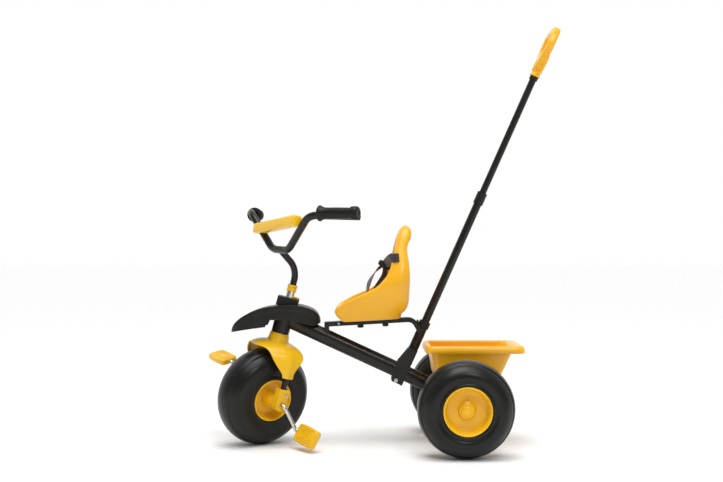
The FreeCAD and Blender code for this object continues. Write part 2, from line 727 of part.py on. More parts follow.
tray_solid = tray_body(0, floor_z, top - 1).fuse(rim_block(0, top - wall, top))
lip = rim_block(0, top - size("tray_lip"), top).cut(rim_block(wall, top - size("tray_lip") - 1, top - wall))
tray_solid = tray_solid.fuse(lip).cut(tray_body(wall, floor_z + wall, top + 6)).removeSplitter()
tray_piece = free_form("tray", tray_solid, AXLE_FRAME)
tray_spots = [(x, y) for x in (-34, 22) for y in (-22, 22)]
screw_holes = []
screws = []
for number, (x, y) in enumerate(tray_spots, start=1):
    place = moved(AXLE_FRAME, x, y, floor_z - wall - 2.5)
    screw_holes.append(cylinder(f"tray_hole{number}", "2", "20", place))
    shank = cylinder(f"tray_shank{number}", "2", "tray_wall*2 + 2.5", place)
    head = cylinder(f"tray_head{number}", "4.5", "2.5", place)
    screws.append(fuse(f"tray_screw{number}", shank, head))
tray_hole_group = group("tray_holes", *screw_holes)
node(cut("tray", tray_piece, tray_hole_group), "tray")
node(group("tray_screws", *screws), "tray_screws")

support_top = box("support_top", "84", "support_width", "tray_wall",
                  moved(AXLE_FRAME, -6, 0, floor_z - wall))
support_legs = [
    box(f"support_leg_{name}", "30", "tray_wall", floor_z - wall - AXLE.z,
        moved(AXLE_FRAME, 0, side * (size("support_width") - wall) / 2, AXLE.z))
    for name, side in (("left", 1), ("right", -1))
]
support_solid = fuse("support", support_top, *support_legs)
support_trim = cylinder("support_trim", "axle_tube_radius", "support_width + 20",
                        axle_line(-size("support_width") / 2 - 10))
node(cut("tray_support", support_solid, support_trim, tray_hole_group), "tray_support")

# ---------------------------------------------------------------- fairing and steering lock
# The fairing hangs from the front wheel's centre, X forward and Z up.
CONSOLE = FreeCAD.Placement(WHEEL, FreeCAD.Rotation())
console_half = size("console_width") / 2
console_skin = size("console_wall")
CROWN_LINE = [(74, 167), (70, 184), (52, 203), (26, 217), (-4, 227), (-36, 232), (-64, 234),
              (-92, 233), (-116, 227), (-135, 217), (-145, 203), (-147, 187)]
SKIRT_LINE = [(-134, 180), (-64, 195), (-16, 196), (-8, 178)]
PLAN_LINE = [(76, 0), (66, 22), (34, 38), (-10, 44), (-64, 46), (-112, 42), (-136, 30), (-148, 0)]


def console_side(shrink):
    """The fairing's side: a beak over the wheel, a crown over the head and a rounded tail."""
    points = [V(x - shrink * math.copysign(1, x + 64), 0, z - shrink) for x, z in CROWN_LINE]
    crown = Part.BSplineCurve()
    crown.interpolate(Points=points)
    foot = [points[-1]] + [V(x, 0, z - 5 * shrink) for x, z in SKIRT_LINE] + [points[0]]
    edges = [crown.toShape()]
    edges += [Part.LineSegment(a, b).toShape() for a, b in zip(foot[:-1], foot[1:])]
    return Part.Face(Part.Wire(edges))


def console_plan(shrink):
    """The fairing seen from above: round at the tail, narrowing to the beak."""
    widen = (console_half - shrink) / 46
    side = [V(x - shrink * (x + 36) / 112, y * widen, 120) for x, y in PLAN_LINE]
    mirror = [V(p.x, -p.y, 120) for p in side[-2:0:-1]]
    return smooth_face(side + mirror).extrude(V(0, 0, 140))


console_outer = across(console_side(0), console_half * 2).common(console_plan(0))
console_inner = across(console_side(console_skin), console_half * 2).common(console_plan(console_skin))
console_piece = free_form("console", console_outer.cut(console_inner), CONSOLE)

turret_rise = "turret_top - turret_foot"
turret_block = box("turret_block", "turret_length", "turret_width", turret_rise,
                   moved(HEAD, 1.5, 0, size("turret_foot")))
node(cut("front_console", console_piece, turret_block, head_block), "front_console")

ramp = side_face([(-9, 262), (-9, 259), (-30, 251), (-30, 262)])
ramp_cut = free_form("turret_ramp", across(ramp, size("lever_width") / 2 + size("free_gap")), HEAD)
turret_bore = cylinder("turret_bore", "head_radius", "head_length + bush_flange + free_gap", head_low)
turret_eye = cylinder("turret_eye", "steerer_radius + free_gap", "60",
                      moved(HEAD, 0, 0, size("turret_foot")))
turret_box = box("turret_box", "turret_length", "turret_width", turret_rise,
                 moved(HEAD, 1.5, 0, size("turret_foot")))
LEVER = moved(HEAD, -15, 0, size("turret_top") + 2.5)
lever_half = size("lever_width") / 2
ears = [
    box(f"turret_ear_{name}", "7", "2.5", "6", moved(LEVER, 0, side * (lever_half + 2), -3.5))
    for name, side in (("left", 1), ("right", -1))
]
pin_line = turned(moved(LEVER, 0, -lever_half - 3.5, 0), -90, V(1, 0, 0))
lock_pin = cylinder("lock_pin_rod", "1.5", "lever_width + 7", pin_line)
turret_solid = fuse("turret", turret_box, *ears)
node(cut("lock_housing", turret_solid, turret_bore, turret_eye, ramp_cut, lock_pin), "lock_housing")
node(lock_pin, "lock_pin")
lever_place = turned(LEVER, -20, LEFT)
lever_tail = box("lever_tail", "19", "lever_width", "lever_thick",
                 moved(lever_place, -9.5, 0, -2))
lever_barrel = cylinder("lever_barrel", "3", "lever_width",
                        turned(moved(lever_place, 0, -lever_half, 0), -90, V(1, 0, 0)))
lever_eye = cylinder("lever_eye", "1.5 + running_gap", "lever_width",
                     turned(moved(lever_place, 0, -lever_half, 0), -90, V(1, 0, 0)))
node(cut("lock_lever", fuse("lever", lever_tail, lever_barrel), lever_eye), "lock_lever")

# ---------------------------------------------------------------- seat
SEAT_SIDE = [(172, 0), (190, 26), (182, 42), (149, 57), (115, 70), (84, 84), (55, 112), (41, 145),
             (25, 200), (12, 228), (-4, 236), (-15, 222), (-6, 192), (-4, 150), (-4, 100), (0, 62),
             (7, 34), (24, 8), (24, 0)]
SEAT_FRONT = [(76, -1), (88, 16), (96, 45), (98, 80), (95, 110), (84, 145), (66, 185), (54, 212),
              (36, 233), (0, 240)]
SEAT_WIDEST = 98
SEAT_REACH = 300


def seat_block(shrink, rise):
    """The seat's side shape across its whole width, trimmed by its shape from the front."""
    widen = size("seat_width") / 2 / SEAT_WIDEST
    front = [V(0, y * widen - shrink, z) for y, z in SEAT_FRONT[:-1]]
    front.append(V(0, 0, SEAT_FRONT[-1][1] - shrink))
    mirror = [V(0, -p.y, p.z) for p in front[-2::-1]]
    curve = Part.BSplineCurve()
    curve.interpolate(Points=front + mirror)
    base = Part.LineSegment(mirror[-1], front[0]).toShape()
    face = Part.Face(Part.Wire([curve.toShape(), base]))
    face.translate(V(-60, 0, rise))
    return face.extrude(V(SEAT_REACH, 0, 0))


def seat_profile(points):
    """A closed side outline: smooth above, straight along its base."""
    corners = [V(x, 0, z) for x, z in points]
    curve = Part.BSplineCurve()
    curve.interpolate(Points=corners)
    base = Part.LineSegment(corners[-1], corners[0]).toShape()
    return across(Part.Face(Part.Wire([curve.toShape(), base])), 130)


seat_skin = size("seat_wall")
SEAT_CAVITY = [(240, 46), (186, 44), (174, 31), (140, 23), (90, 20), (44, 24), (18, 44), (8, 80),
               (6, 130), (4, 180), (-1, 205), (-8, 222), (-1, 233), (20, 262), (120, 300), (240, 262)]
seat_outer = seat_profile(SEAT_SIDE).common(seat_block(0, 0))
seat_cavity = seat_profile(SEAT_CAVITY).common(seat_block(seat_skin, seat_skin))
under_pan = Part.makeBox(124, 128, 15, V(32, -64, -1))
seat_form = seat_outer.cut(seat_cavity).cut(under_pan)
seat_piece = free_form("seat", seat_form, moved(RAIL, 0, 0, size("free_gap")))
pan_top = 20
seat_holes = []
seat_bolt_pieces = []
seat_nut_pieces = []
for number, spot in enumerate(bolt_spots, start=1):
    place = moved(RAIL, spot, 0, -size("rail_thick") - 9)
    seat_holes.append(cylinder(f"seat_hole{number}", "seat_bolt_radius", "60", place))
    reach = size("rail_thick") + 9 + pan_top + 5
    shank = cylinder(f"seat_shank{number}", "seat_bolt_radius", reach, place)
    head = cylinder(f"seat_head{number}", "seat_bolt_radius*2", 4, moved(place, 0, 0, reach))
    seat_bolt_pieces.append(fuse(f"seat_bolt{number}", shank, head))
    nut_place = moved(RAIL, spot, 0, -size("rail_thick") - 7 - size("free_gap"))
    seat_nut_pieces.append(ring(f"seat_nut{number}", "seat_bolt_radius*2", "seat_bolt_radius", "7", nut_place))
node(cut("seat_shell", seat_piece, group("seat_holes", *seat_holes)), "seat_shell")
node(group("seat_bolts", *seat_bolt_pieces), "seat_bolts")
node(group("seat_nuts", *seat_nut_pieces), "seat_nuts")

# ---------------------------------------------------------------- harness
SEAT = moved(RAIL, 0, 0, size("free_gap"))
half_strap = size("strap_width") / 2
strap_thick = size("strap_thick")


def strap(name, points, radii, width_way):
    """Flat webbing along a route, with its width held along one direction."""
    run = (points[1] - points[0]).normalize()
    wide = (width_way - run * width_way.dot(run)).normalize()
    thin = run.cross(wide)
    corners = [points[0] + wide * (a * half_strap) + thin * (b * strap_thick / 2)
               for a, b in ((1, 1), (-1, 1), (-1, -1), (1, -1))]
    outline = Part.makePolygon(corners + [corners[0]])
    return free_form(name, swept(rounded_path(points, radii), outline), SEAT)


BUCKLE = V(66, 0, 126)
buckle_box = Part.makeBox(9, 30, 34, V(-4.5, -15, -17))
buckle_box = buckle_box.makeFillet(3, buckle_box.Edges)
buckle_tilt = FreeCAD.Placement(BUCKLE, FreeCAD.Rotation(LEFT, -32))
buckle = free_form("buckle", buckle_box, SEAT.multiply(buckle_tilt))
node(buckle, "harness_buckle")
crotch = strap("crotch", [V(118, 0, 26), V(112, 0, 62), V(92, 0, 100), BUCKLE + V(6, 0, -6)],
               [60, 60], LEFT)
node(cut("crotch_strap", crotch, buckle), "crotch_strap")
node(group("lap", *[
    strap(f"lap_{name}", [V(30, side * 72, 148), V(54, side * 48, 136), BUCKLE + V(1, side * 16, 2)], [60],
          V(0.35, 0, 1))
    for name, side in (("left", 1), ("right", -1))
]), "lap_straps")

# ---------------------------------------------------------------- steering
fork_low = size("fork_end_drop") - 5
leg = size("fork_leg_offset")
shoulder = size("fork_shoulder")
fork_route = [V(0, -leg, fork_low), V(0, -leg, size("fork_knee")), V(0, -shoulder, size("fork_top")),
              V(0, shoulder, size("fork_top")), V(0, leg, size("fork_knee")), V(0, leg, fork_low)]
FORK_BENDS = [20, 20, 20, 20]
FORK_WALL = 1.8
fork_bar = free_form("fork", bent_tube(fork_route, FORK_BENDS, size("fork_radius"), FORK_WALL), FORK)
steerer_place = moved(FORK, 0, 0, size("fork_top"))
steerer = ring("steerer", "steerer_radius", "stem_radius + running_gap", "steerer_top - fork_top",
               steerer_place)
fork_solid = free_form("fork_block", bent_rod(fork_route, FORK_BENDS, size("fork_radius")), FORK)
node(cut("steerer_tube", steerer, fork_solid), "steerer_tube")

skin = size("fender_wall")


def fender_arch(shrink):
    """The mudguard's section across the wheel: a flat top and flanks that lean out to the legs."""
    flat = size("fender_flat") - shrink * 0.5
    half = size("fender_half") - shrink
    high = size("fender_top") - shrink
    foot = size("fender_foot") - shrink * 4
    knee = size("fender_foot") + 16
    points = [(half, foot), (half, knee), (flat, high), (-flat, high), (-half, knee), (-half, foot)]
    face = flat_outline([V(-100, v, w) for v, w in points])
    return face.extrude(V(200, 0, 0))


def fender_side():
    """The mudguard seen from the side: lips ahead and behind, narrowing to the legs."""
    front = size("fender_front")
    back = size("fender_back")
    foot = size("fender_foot")
    points = [(front, 120), (front - 6, 104), (22, 84), (17, foot), (-17, foot), (-19, 84),
              (-back + 8, 104), (-back, 120), (-back + 6, 134), (-24, 152), (24, 152), (44, 142)]
    return across(side_face(points), 100)


fender_form = fender_arch(0).cut(fender_arch(skin)).common(fender_side())
fender_shell = free_form("fender", fender_form, FORK)
collar_rise = "head_bottom - bush_flange - free_gap - fender_top + fender_wall"
fender_collar = cylinder("fender_collar", "fender_collar_radius", collar_rise,
                         moved(FORK, 0, 0, size("fender_top") - skin))
fender_bore = cylinder("fender_bore", "steerer_radius", "60", steerer_place)
node(cut("front_fender", fuse("fender_joined", fender_shell, fender_collar), fender_bore), "front_fender")

fork_end_corners = [
    ("fork_end_half", "fork_end_rise"), ("0 - fork_end_half", "fork_end_rise"),
    ("0 - fork_end_half", "0 - fork_end_drop*0.4"), ("0 - fork_end_half*0.5", "0 - fork_end_drop"),
    ("fork_end_half*0.5", "0 - fork_end_drop"), ("fork_end_half", "0 - fork_end_drop*0.4"),
]
end_screws = []
screw_bores = []
for name, side in (("left", 1), ("right", -1)):
    inner = side * (size("fork_end_inner") if side > 0 else size("fork_end_outer"))
    upright = FreeCAD.Rotation(V(-1, 0, 0), V(0, 0, 1), V(0, 1, 0), "ZXY")
    block_place = moved(FORK, 0, inner, 0).multiply(FreeCAD.Placement(V(), upright))
    block = plate(f"end_block_{name}", fork_end_corners, "fork_end_outer - fork_end_inner", block_place)
    bore = cylinder(f"fork_end_bore_{name}", "axle_radius + running_gap", "60", wheel_line(50, side))
    screw_spot = turned(moved(FORK, -9, side * size("fork_end_inner"), 25), -90 * side, V(1, 0, 0))
    screw_bore = cylinder(f"end_screw_bore_{name}", "1.6", "fork_end_outer - fork_end_inner", screw_spot)
    screw_bores.append(screw_bore)
    shank = cylinder(f"end_screw_shank_{name}", "1.6", "fork_end_outer - fork_end_inner", screw_spot)
    head = cylinder(f"end_screw_head_{name}", "4", "2.4",
                    moved(screw_spot, 0, 0, size("fork_end_outer") - size("fork_end_inner")))
    end_screws.append(fuse(f"end_screw_{name}", shank, head))
    node(cut(f"fork_end_{name}", block, bore, fork_solid, screw_bore), f"fork_end_{name}")
node(cut("fork", fork_bar, group("screw_bores", *screw_bores)), "fork")
node(group("fork_end_screws", *end_screws), "fork_end_screws")

CLAMP = [
    ("steerer_radius", "0"),
    ("lock_collar_radius", "0"),
    ("lock_collar_radius", "lock_collar_height"),
    ("stem_radius + free_gap", "lock_collar_height"),
    ("stem_radius + free_gap", "lock_collar_height - 3"),
    ("steerer_radius", "lock_collar_height - 3"),
]
node(turning("stem_collar", CLAMP, moved(FORK, 0, 0, size("steerer_top") - size("lock_collar_height") + 3)),
     "stem_collar")

# ---------------------------------------------------------------- handlebar
half_bar = size("bar_half")
bar_low = size("bar_flat")
sweep = math.radians(size("bar_sweep"))
lift = math.radians(size("bar_lift"))


def bar_corner(side):
    return V(size("bar_forward"), side * half_bar, size("bar_rise"))


def grip_way(side):
    return V(-math.sin(sweep) * math.cos(lift), side * math.cos(sweep) * math.cos(lift), math.sin(lift))


bar_end = size("grip_start") + size("grip_length") - 4
bar_route = [bar_corner(1) + grip_way(1) * bar_end, bar_corner(1), V(0, bar_low, 0), V(0, -bar_low, 0),
             bar_corner(-1), bar_corner(-1) + grip_way(-1) * bar_end]
bar_radii = [size("bar_bend")] * 4
bar_tube = bent_tube(bar_route, bar_radii, size("bar_radius"), size("bar_wall"))
node(free_form("bar", bar_tube, BAR), "handlebar")
bar_block = free_form("bar_block", bent_rod(bar_route, bar_radii, size("bar_radius")), BAR)
stem_route = [V(0, 0, size("stem_bottom")), V(0, 0, size("stem_knee")), bar_middle]
stem_tube = bent_tube(stem_route, [size("stem_bend")], size("stem_radius"), size("stem_wall"))
stem = free_form("stem", stem_tube, STEM)
node(cut("handlebar_stem", stem, bar_block), "handlebar_stem")

GRIP = [
    ("bar_radius", "0"),
    ("grip_flange - 2", "0"),
    ("grip_flange", "2"),
    ("grip_flange", "5"),
    ("grip_radius - 0.8", "13"),
    ("grip_radius", "grip_length*0.45"),
    ("grip_radius - 0.8", "grip_length - 15"),
    ("grip_radius + 3", "grip_length - 11"),
    ("grip_radius + 3", "grip_length - 2"),
    ("grip_radius + 1", "grip_length"),
    ("0", "grip_length"),
    ("0", "grip_length - 4"),
    ("bar_radius", "grip_length - 4"),
]
for name, side in (("left", 1), ("right", -1)):
    way = grip_way(side)
    cross_way = way.cross(V(0, 0, 1)).normalize()
    spin = FreeCAD.Rotation(cross_way, way.cross(cross_way), way, "ZXY")
    grip_place = BAR.multiply(FreeCAD.Placement(bar_corner(side) + way * size("grip_start"), spin))
    node(turning(f"rubber_{name}", GRIP, grip_place), f"grip_{name}")

leg_share = size("pad_share")
pad_mid = V(size("bar_forward") * leg_share, 0, size("bar_rise") * leg_share)
leg_half = bar_low + (half_bar - bar_low) * leg_share
pad_block = Part.makeBox(size("pad_depth"), 2 * leg_half, size("pad_height"),
                         pad_mid + V(-6, -leg_half, -size("pad_height") / 2))
pad_block = pad_block.makeFillet(8, [edge for edge in pad_block.Edges])
hooks = [Part.makeBox(11, 20, 20, pad_mid + V(-16, side * (leg_half - 2) - 10, -10)) for side in (1, -1)]
hooks += [Part.makeBox(14, 12, 20, pad_mid + V(-16, side * (leg_half - 11) - 6, -10)) for side in (1, -1)]
pad_form = free_form("pad", pad_block.multiFuse(hooks), BAR)
node(cut("bar_pad", pad_form, bar_block), "bar_pad")

# ---------------------------------------------------------------- wheels
def tyre_shape(radius, half, crown, bead, wall):
    """A hollow tyre about Z: a round tread, upright flanks and two beads on the hub."""
    def line(shrink, foot):
        side = half - shrink
        bend = crown - shrink
        middle = radius - crown
        shoulder = V(middle + math.sqrt(bend * bend - side * side), 0, side)
        tread = Part.Arc(shoulder, V(middle + bend, 0, 0), V(shoulder.x, 0, -shoulder.z)).toShape()
        return shoulder, tread, V(foot, 0, side - 4)

    outer_shoulder, outer_tread, outer_bead = line(0, bead)
    inner_shoulder, inner_tread, _ = line(wall, bead + wall)
    lip = V(bead, 0, outer_bead.z - 10)
    heel = V(bead + wall, 0, lip.z)
    upper = [Part.LineSegment(a, b).toShape() for a, b in
             ((outer_bead, outer_shoulder), (lip, outer_bead), (heel, lip), (inner_shoulder, heel))]
    lower = [Part.LineSegment(V(a.x, 0, -a.z), V(b.x, 0, -b.z)).toShape() for a, b in
             ((outer_bead, outer_shoulder), (lip, outer_bead), (heel, lip), (inner_shoulder, heel))]
    wire = Part.Wire(Part.__sortEdges__(upper + lower + [outer_tread, inner_tread]))
    tyre = Part.Face(wire).revolve(V(), V(0, 0, 1), 360)
    offset = size("groove_offset")
    ring_radius = radius - crown + math.sqrt(crown * crown - offset * offset)
    for z in (offset, -offset):
        tyre = tyre.cut(Part.makeTorus(ring_radius, size("groove_depth"), V(0, 0, z)))
    return tyre


rear_half = size("rear_width") / 2
front_half = size("front_width") / 2
HUB = [
    ("axle_radius + running_gap", "0 - rear_width*0.5 + 1"),
    ("hub_boss_radius", "0 - rear_width*0.5 + 1"),
    ("hub_boss_radius", "rear_width*0.5 - 1 - hub_dish - hub_wall"),
    ("rear_bead - 3*hub_wall", "rear_width*0.5 - 1 - hub_dish - hub_wall"),
    ("rear_bead - hub_wall", "0 - rear_width*0.5 + 2"),
    ("rear_bead", "0 - rear_width*0.5 + 2"),
    ("rear_bead", "rear_width*0.5 - 1"),
    ("rear_bead - hub_wall", "rear_width*0.5 - 1"),
    ("rear_bead - 3*hub_wall", "rear_width*0.5 - 1 - hub_dish"),
    ("cap_radius - hub_wall", "rear_width*0.5 - 1 - hub_dish"),
    ("cap_radius - hub_wall", "rear_width*0.5 + 4 - hub_dish"),
    ("axle_radius + running_gap", "rear_width*0.5 + 4 - hub_dish"),
]
CAP = [
    ("cap_radius - hub_wall", "0"),
    ("cap_radius", "0"),
    ("cap_radius", "cap_height*0.55"),
    ("cap_radius*0.9", "cap_height*0.8"),
    ("cap_radius*0.6", "cap_height"),
    ("cap_radius*0.55", "cap_height + key_height"),
    ("0", "cap_height + key_height"),
    ("0", "cap_height"),
    ("cap_radius*0.6 - hub_wall", "cap_height - hub_wall*0.5"),
    ("cap_radius - hub_wall", "cap_height*0.5"),
]
for name, side in (("left", 1), ("right", -1)):
    middle = axle_line(half_track, side)
    node(free_form(f"rear_tyre_{name}", tyre_shape(size("rear_radius"), rear_half, size("rear_crown"),
                                                  size("rear_bead"), 5), middle), f"rear_tyre_{name}")
    node(turning(f"rear_hub_{name}", HUB, middle), f"rear_hub_{name}")
    cap_place = moved(middle, 0, 0, rear_half - 1 - size("hub_dish"))
    node(turning(f"hub_cap_{name}", CAP, cap_place), f"hub_cap_{name}")

node(free_form("front_tyre", tyre_shape(size("front_radius"), front_half, size("front_crown"),
                                        size("front_bead"), 5), wheel_line(0)), "front_tyre")
FRONT_HUB = [
    ("axle_radius", "0"),
    ("front_bead", "0"),
    ("front_bead", "front_width*0.5 - 2"),
    ("front_bead - hub_wall", "front_width*0.5 - 2"),
    ("front_bead - 3*hub_wall", "front_width*0.5 - 2 - hub_dish + hub_wall"),
    ("hub_boss_radius + 4", "front_width*0.5 - 2 - hub_dish + hub_wall"),
    ("hub_boss_radius + 2", "front_width*0.5 - 6"),
    ("hub_boss_radius - 2", "front_width*0.5"),
    ("hub_boss_radius - 4", "fork_end_inner - free_gap"),
    ("axle_radius", "fork_end_inner - free_gap"),
    ("axle_radius", "front_width*0.5 - 8"),
    ("hub_boss_radius - 2", "front_width*0.5 - 8"),
    ("hub_boss_radius", "front_width*0.5 - 2 - hub_dish"),
    ("front_bead - 4*hub_wall", "front_width*0.5 - 2 - hub_dish"),
    ("front_bead - 2*hub_wall", "hub_wall"),
    ("axle_radius", "hub_wall"),
]
for name, side in (("left", 1), ("right", -1)):
    node(turning(f"front_hub_{name}", FRONT_HUB, wheel_line(0, side)), f"front_hub_{name}")

crank_way = math.radians(size("crank_angle"))
crank_x = size("crank_length") * math.cos(crank_way)
crank_z = size("crank_length") * math.sin(crank_way)
spindle_end = size("pedal_inner") + size("pedal_length") - 8
spindle_start = size("pedal_inner") - 12
crank_route = [V(crank_x, spindle_end, crank_z), V(crank_x, spindle_start, crank_z),
               V(0, size("crank_out"), 0), V(0, -size("crank_out"), 0),
               V(-crank_x, -spindle_start, -crank_z), V(-crank_x, -spindle_end, -crank_z)]
crank_rod = bent_rod(crank_route, [size("crank_bend")] * 4, size("axle_radius"))
node(free_form("crank", crank_rod, FORK), "crank_axle")

PEDAL = [
    ("pedal_width*0.5", "pedal_thick*0.25"), ("pedal_width*0.42", "pedal_thick*0.5"),
    ("0 - pedal_width*0.42", "pedal_thick*0.5"), ("0 - pedal_width*0.5", "pedal_thick*0.25"),
    ("0 - pedal_width*0.5", "0 - pedal_thick*0.25"), ("0 - pedal_width*0.42", "0 - pedal_thick*0.5"),
    ("pedal_width*0.42", "0 - pedal_thick*0.5"), ("pedal_width*0.5", "0 - pedal_thick*0.25"),
]
for name, side in (("left", 1), ("right", -1)):
    spindle = turned(moved(FORK, side * crank_x, side * size("pedal_inner"), side * crank_z),
                     -90 * side, V(1, 0, 0))
    pedal_place = turned(spindle, -side * size(f"{name}_pedal_angle"))
    body = plate(f"pedal_block_{name}", PEDAL, "pedal_length", pedal_place)
    pedal_bore = cylinder(f"pedal_bore_{name}", "axle_radius + running_gap", "pedal_length - 6",
                          moved(pedal_place, 0, 0, -1))
    node(cut(f"pedal_{name}", body, pedal_bore), f"pedal_{name}")

# ---------------------------------------------------------------- push pole
pole_base = moved(POLE, 0, 0, size("socket_foot"))
node(ring("lower_tube", "pole_radius", "upper_radius + running_gap", "pole_length", pole_base), "lower_pole")
pole_top = size("socket_foot") + size("pole_length")
MIDDLE_COLLAR = [
    ("pole_radius", "0"),
    ("mid_collar_radius", "0"),
    ("mid_collar_radius", "mid_collar_height"),
    ("upper_radius + running_gap", "mid_collar_height"),
    ("upper_radius + running_gap", "mid_collar_height*0.6"),
    ("pole_radius", "mid_collar_height*0.6"),
]
node(turning("middle_collar", MIDDLE_COLLAR, moved(POLE, 0, 0, pole_top - size("mid_collar_height") * 0.6)),
     "middle_collar")
upper_start = pole_top - size("upper_hidden")
handle_at = pole_top + size("mid_collar_height") * 0.4 + size("upper_shown")
upper_length = handle_at - upper_start + size("handle_sleeve_height") * 0.8
node(ring("upper_tube", "upper_radius", "upper_radius - upper_wall", upper_length,
          moved(POLE, 0, 0, upper_start)), "upper_pole")
node(ring("handle_ring", "handle_sleeve_radius - 2.5", "upper_radius", "handle_collar_height",
          moved(POLE, 0, 0, handle_at)), "handle_collar")
HANDLE = moved(POLE, 0, 0, handle_at + size("handle_collar_height"))
half_loop = size("handle_half")
loop_top = size("handle_rise") - size("handle_collar_height") - size("handle_grip_radius")
loop_low = size("handle_sleeve_height") - 6
loop_route = [V(0, 0, loop_low), V(0, half_loop * 0.55, loop_low), V(0, half_loop, loop_low + 34),
              V(0, half_loop * 0.92, loop_top), V(0, -half_loop * 0.92, loop_top),
              V(0, -half_loop, loop_low + 34), V(0, -half_loop * 0.55, loop_low), V(0, 0, loop_low)]
loop_radii = [18, 18, 22, 22, 18, 18]
loop = bent_rod(loop_route, loop_radii, size("handle_grip_radius"))
sleeve = Part.makeCone(size("handle_sleeve_radius"), size("handle_sleeve_radius") - 1,
                       size("handle_sleeve_height"))
handle_form = free_form("handle", loop.fuse(sleeve).removeSplitter(), HANDLE)
handle_bore = cylinder("handle_bore", "upper_radius",
                       "handle_sleeve_height*0.8 - handle_collar_height", HANDLE)
node(cut("push_handle", handle_form, handle_bore), "push_handle")

# ---------------------------------------------------------------- check and write
doc.recompute()
for thing in doc.Objects:
    if "Invalid" in thing.State or "Error" in thing.State:
        raise RuntimeError(f"{thing.Name} ({thing.Label}) did not build: {thing.State}")
for name, thing in nodes.items():
    shape = thing.Shape
    if shape.isNull() or not shape.isValid() or shape.Volume <= 0 or not shape.Solids:
        raise RuntimeError(f"{name} has no sound solid")
    shape.exportStep(f"parts/{name}.step")
print(f"{len(nodes)} sub-parts written")
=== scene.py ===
# %% [markdown]
# # A children's tricycle with a push pole
# The steelwork, the wheels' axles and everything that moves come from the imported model. This lesson
# loads that model as a fixed frame and dresses it: smooth moulded plastic, tyres, grips, webbing and
# paint. The frame gives every place, so nothing here is fitted by eye.

# %% Load the frame
import json
import math

import bmesh
import bpy
from mathutils import Matrix, Vector


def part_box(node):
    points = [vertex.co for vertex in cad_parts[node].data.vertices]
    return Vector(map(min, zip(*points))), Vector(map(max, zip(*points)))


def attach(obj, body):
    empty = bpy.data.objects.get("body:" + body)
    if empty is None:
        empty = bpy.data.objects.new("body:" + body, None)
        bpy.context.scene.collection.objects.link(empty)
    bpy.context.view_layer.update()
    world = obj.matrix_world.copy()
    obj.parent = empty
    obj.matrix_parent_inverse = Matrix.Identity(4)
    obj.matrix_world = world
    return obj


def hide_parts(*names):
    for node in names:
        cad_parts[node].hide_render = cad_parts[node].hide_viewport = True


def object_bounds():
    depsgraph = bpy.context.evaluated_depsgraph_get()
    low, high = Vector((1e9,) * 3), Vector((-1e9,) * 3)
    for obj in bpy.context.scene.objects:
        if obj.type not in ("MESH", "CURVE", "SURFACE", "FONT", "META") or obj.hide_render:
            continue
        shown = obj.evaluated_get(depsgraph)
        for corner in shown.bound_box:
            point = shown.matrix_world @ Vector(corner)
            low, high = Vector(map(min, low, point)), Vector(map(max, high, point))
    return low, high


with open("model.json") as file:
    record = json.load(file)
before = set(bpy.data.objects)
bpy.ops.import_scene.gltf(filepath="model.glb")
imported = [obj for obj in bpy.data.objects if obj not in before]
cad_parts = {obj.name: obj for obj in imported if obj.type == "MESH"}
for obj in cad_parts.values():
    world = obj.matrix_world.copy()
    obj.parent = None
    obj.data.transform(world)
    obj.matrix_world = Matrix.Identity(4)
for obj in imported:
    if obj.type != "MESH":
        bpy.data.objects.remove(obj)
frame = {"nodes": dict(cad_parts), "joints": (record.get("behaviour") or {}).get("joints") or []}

cad_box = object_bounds()
joints = {joint["name"]: joint for joint in frame["joints"]}
MM = 0.001

# %% [markdown]
# ## Places
# A tricycle leans: the steering axis is raked, the wheel is turned, the push pole tilts back. Drawing
# each piece in a level frame of its own, in millimetres, keeps its numbers readable. A 4x4 matrix then
# carries the finished mesh into the model. The axes come from the joints, so they follow the frame.
# The handlebar sits slightly askew in its clamp, so its frame has a swivel and a tilt of its own.

# %% Local frames from the joints
def place(origin, x_axis, z_axis):
    """A frame whose drawings are in millimetres: X near x_axis, Z along z_axis."""
    up = Vector(z_axis).normalized()
    left = up.cross(Vector(x_axis)).normalized()
    ahead = left.cross(up)
    turn = Matrix((ahead, left, up)).transposed().to_4x4()
    return Matrix.Translation(Vector(origin)) @ turn @ Matrix.Scale(MM, 4)


def turned_about(matrix, degrees, axis="Z", pivot=(0, 0, 0)):
    """The frame turned about one of its own axes, through a point of its own."""
    step = Matrix.Translation(Vector(pivot))
    return matrix @ step @ Matrix.Rotation(math.radians(degrees), 4, axis) @ step.inverted()


FORWARD = Vector((1, 0, 0))
LEFT = Vector((0, 1, 0))
UP = Vector((0, 0, 1))
wheel_centre = Vector(joints["steering"]["pos_m"])
steer_axis = Vector(joints["steering"]["axis"])
wheel_axis = Vector(joints["front_wheel_spin"]["axis"])
FORK = place(wheel_centre, wheel_axis.cross(steer_axis), steer_axis)
BAR_SWIVEL = -5.5
BAR_TILT = 7.2
BAR_FOOT = (62, 0, 373.5)
STEM = turned_about(FORK, BAR_SWIVEL)
BAR = turned_about(STEM @ Matrix.Translation(Vector(BAR_FOOT)), BAR_TILT, "X")
pole_axis = Vector(joints["push_pole_lift"]["axis"])
rear_centre = Vector(joints["rear_left_spin"]["pos_m"])
AXLE = place((rear_centre.x, 0, rear_centre.z), FORWARD, UP)
POLE_FOOT = Vector((144.1, 0, 183.8))
POLE = place(Vector((rear_centre.x, 0, 0)) + POLE_FOOT * MM, LEFT.cross(pole_axis), pole_axis)
rail_axis = Vector(joints["seat_slide"]["axis"])
SEAT_BACK = 0.126
SEAT_TOE = 172
rail_up = rail_axis.cross(LEFT)
seat_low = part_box("seat_shell")[0]
seat_z = seat_low.z - SEAT_TOE * MM * rail_axis.z
SEAT = place((rear_centre.x + SEAT_BACK, 0, seat_z), rail_axis, rail_up)
print("steering axis", steer_axis.to_tuple(3), "pole axis", pole_axis.to_tuple(3))

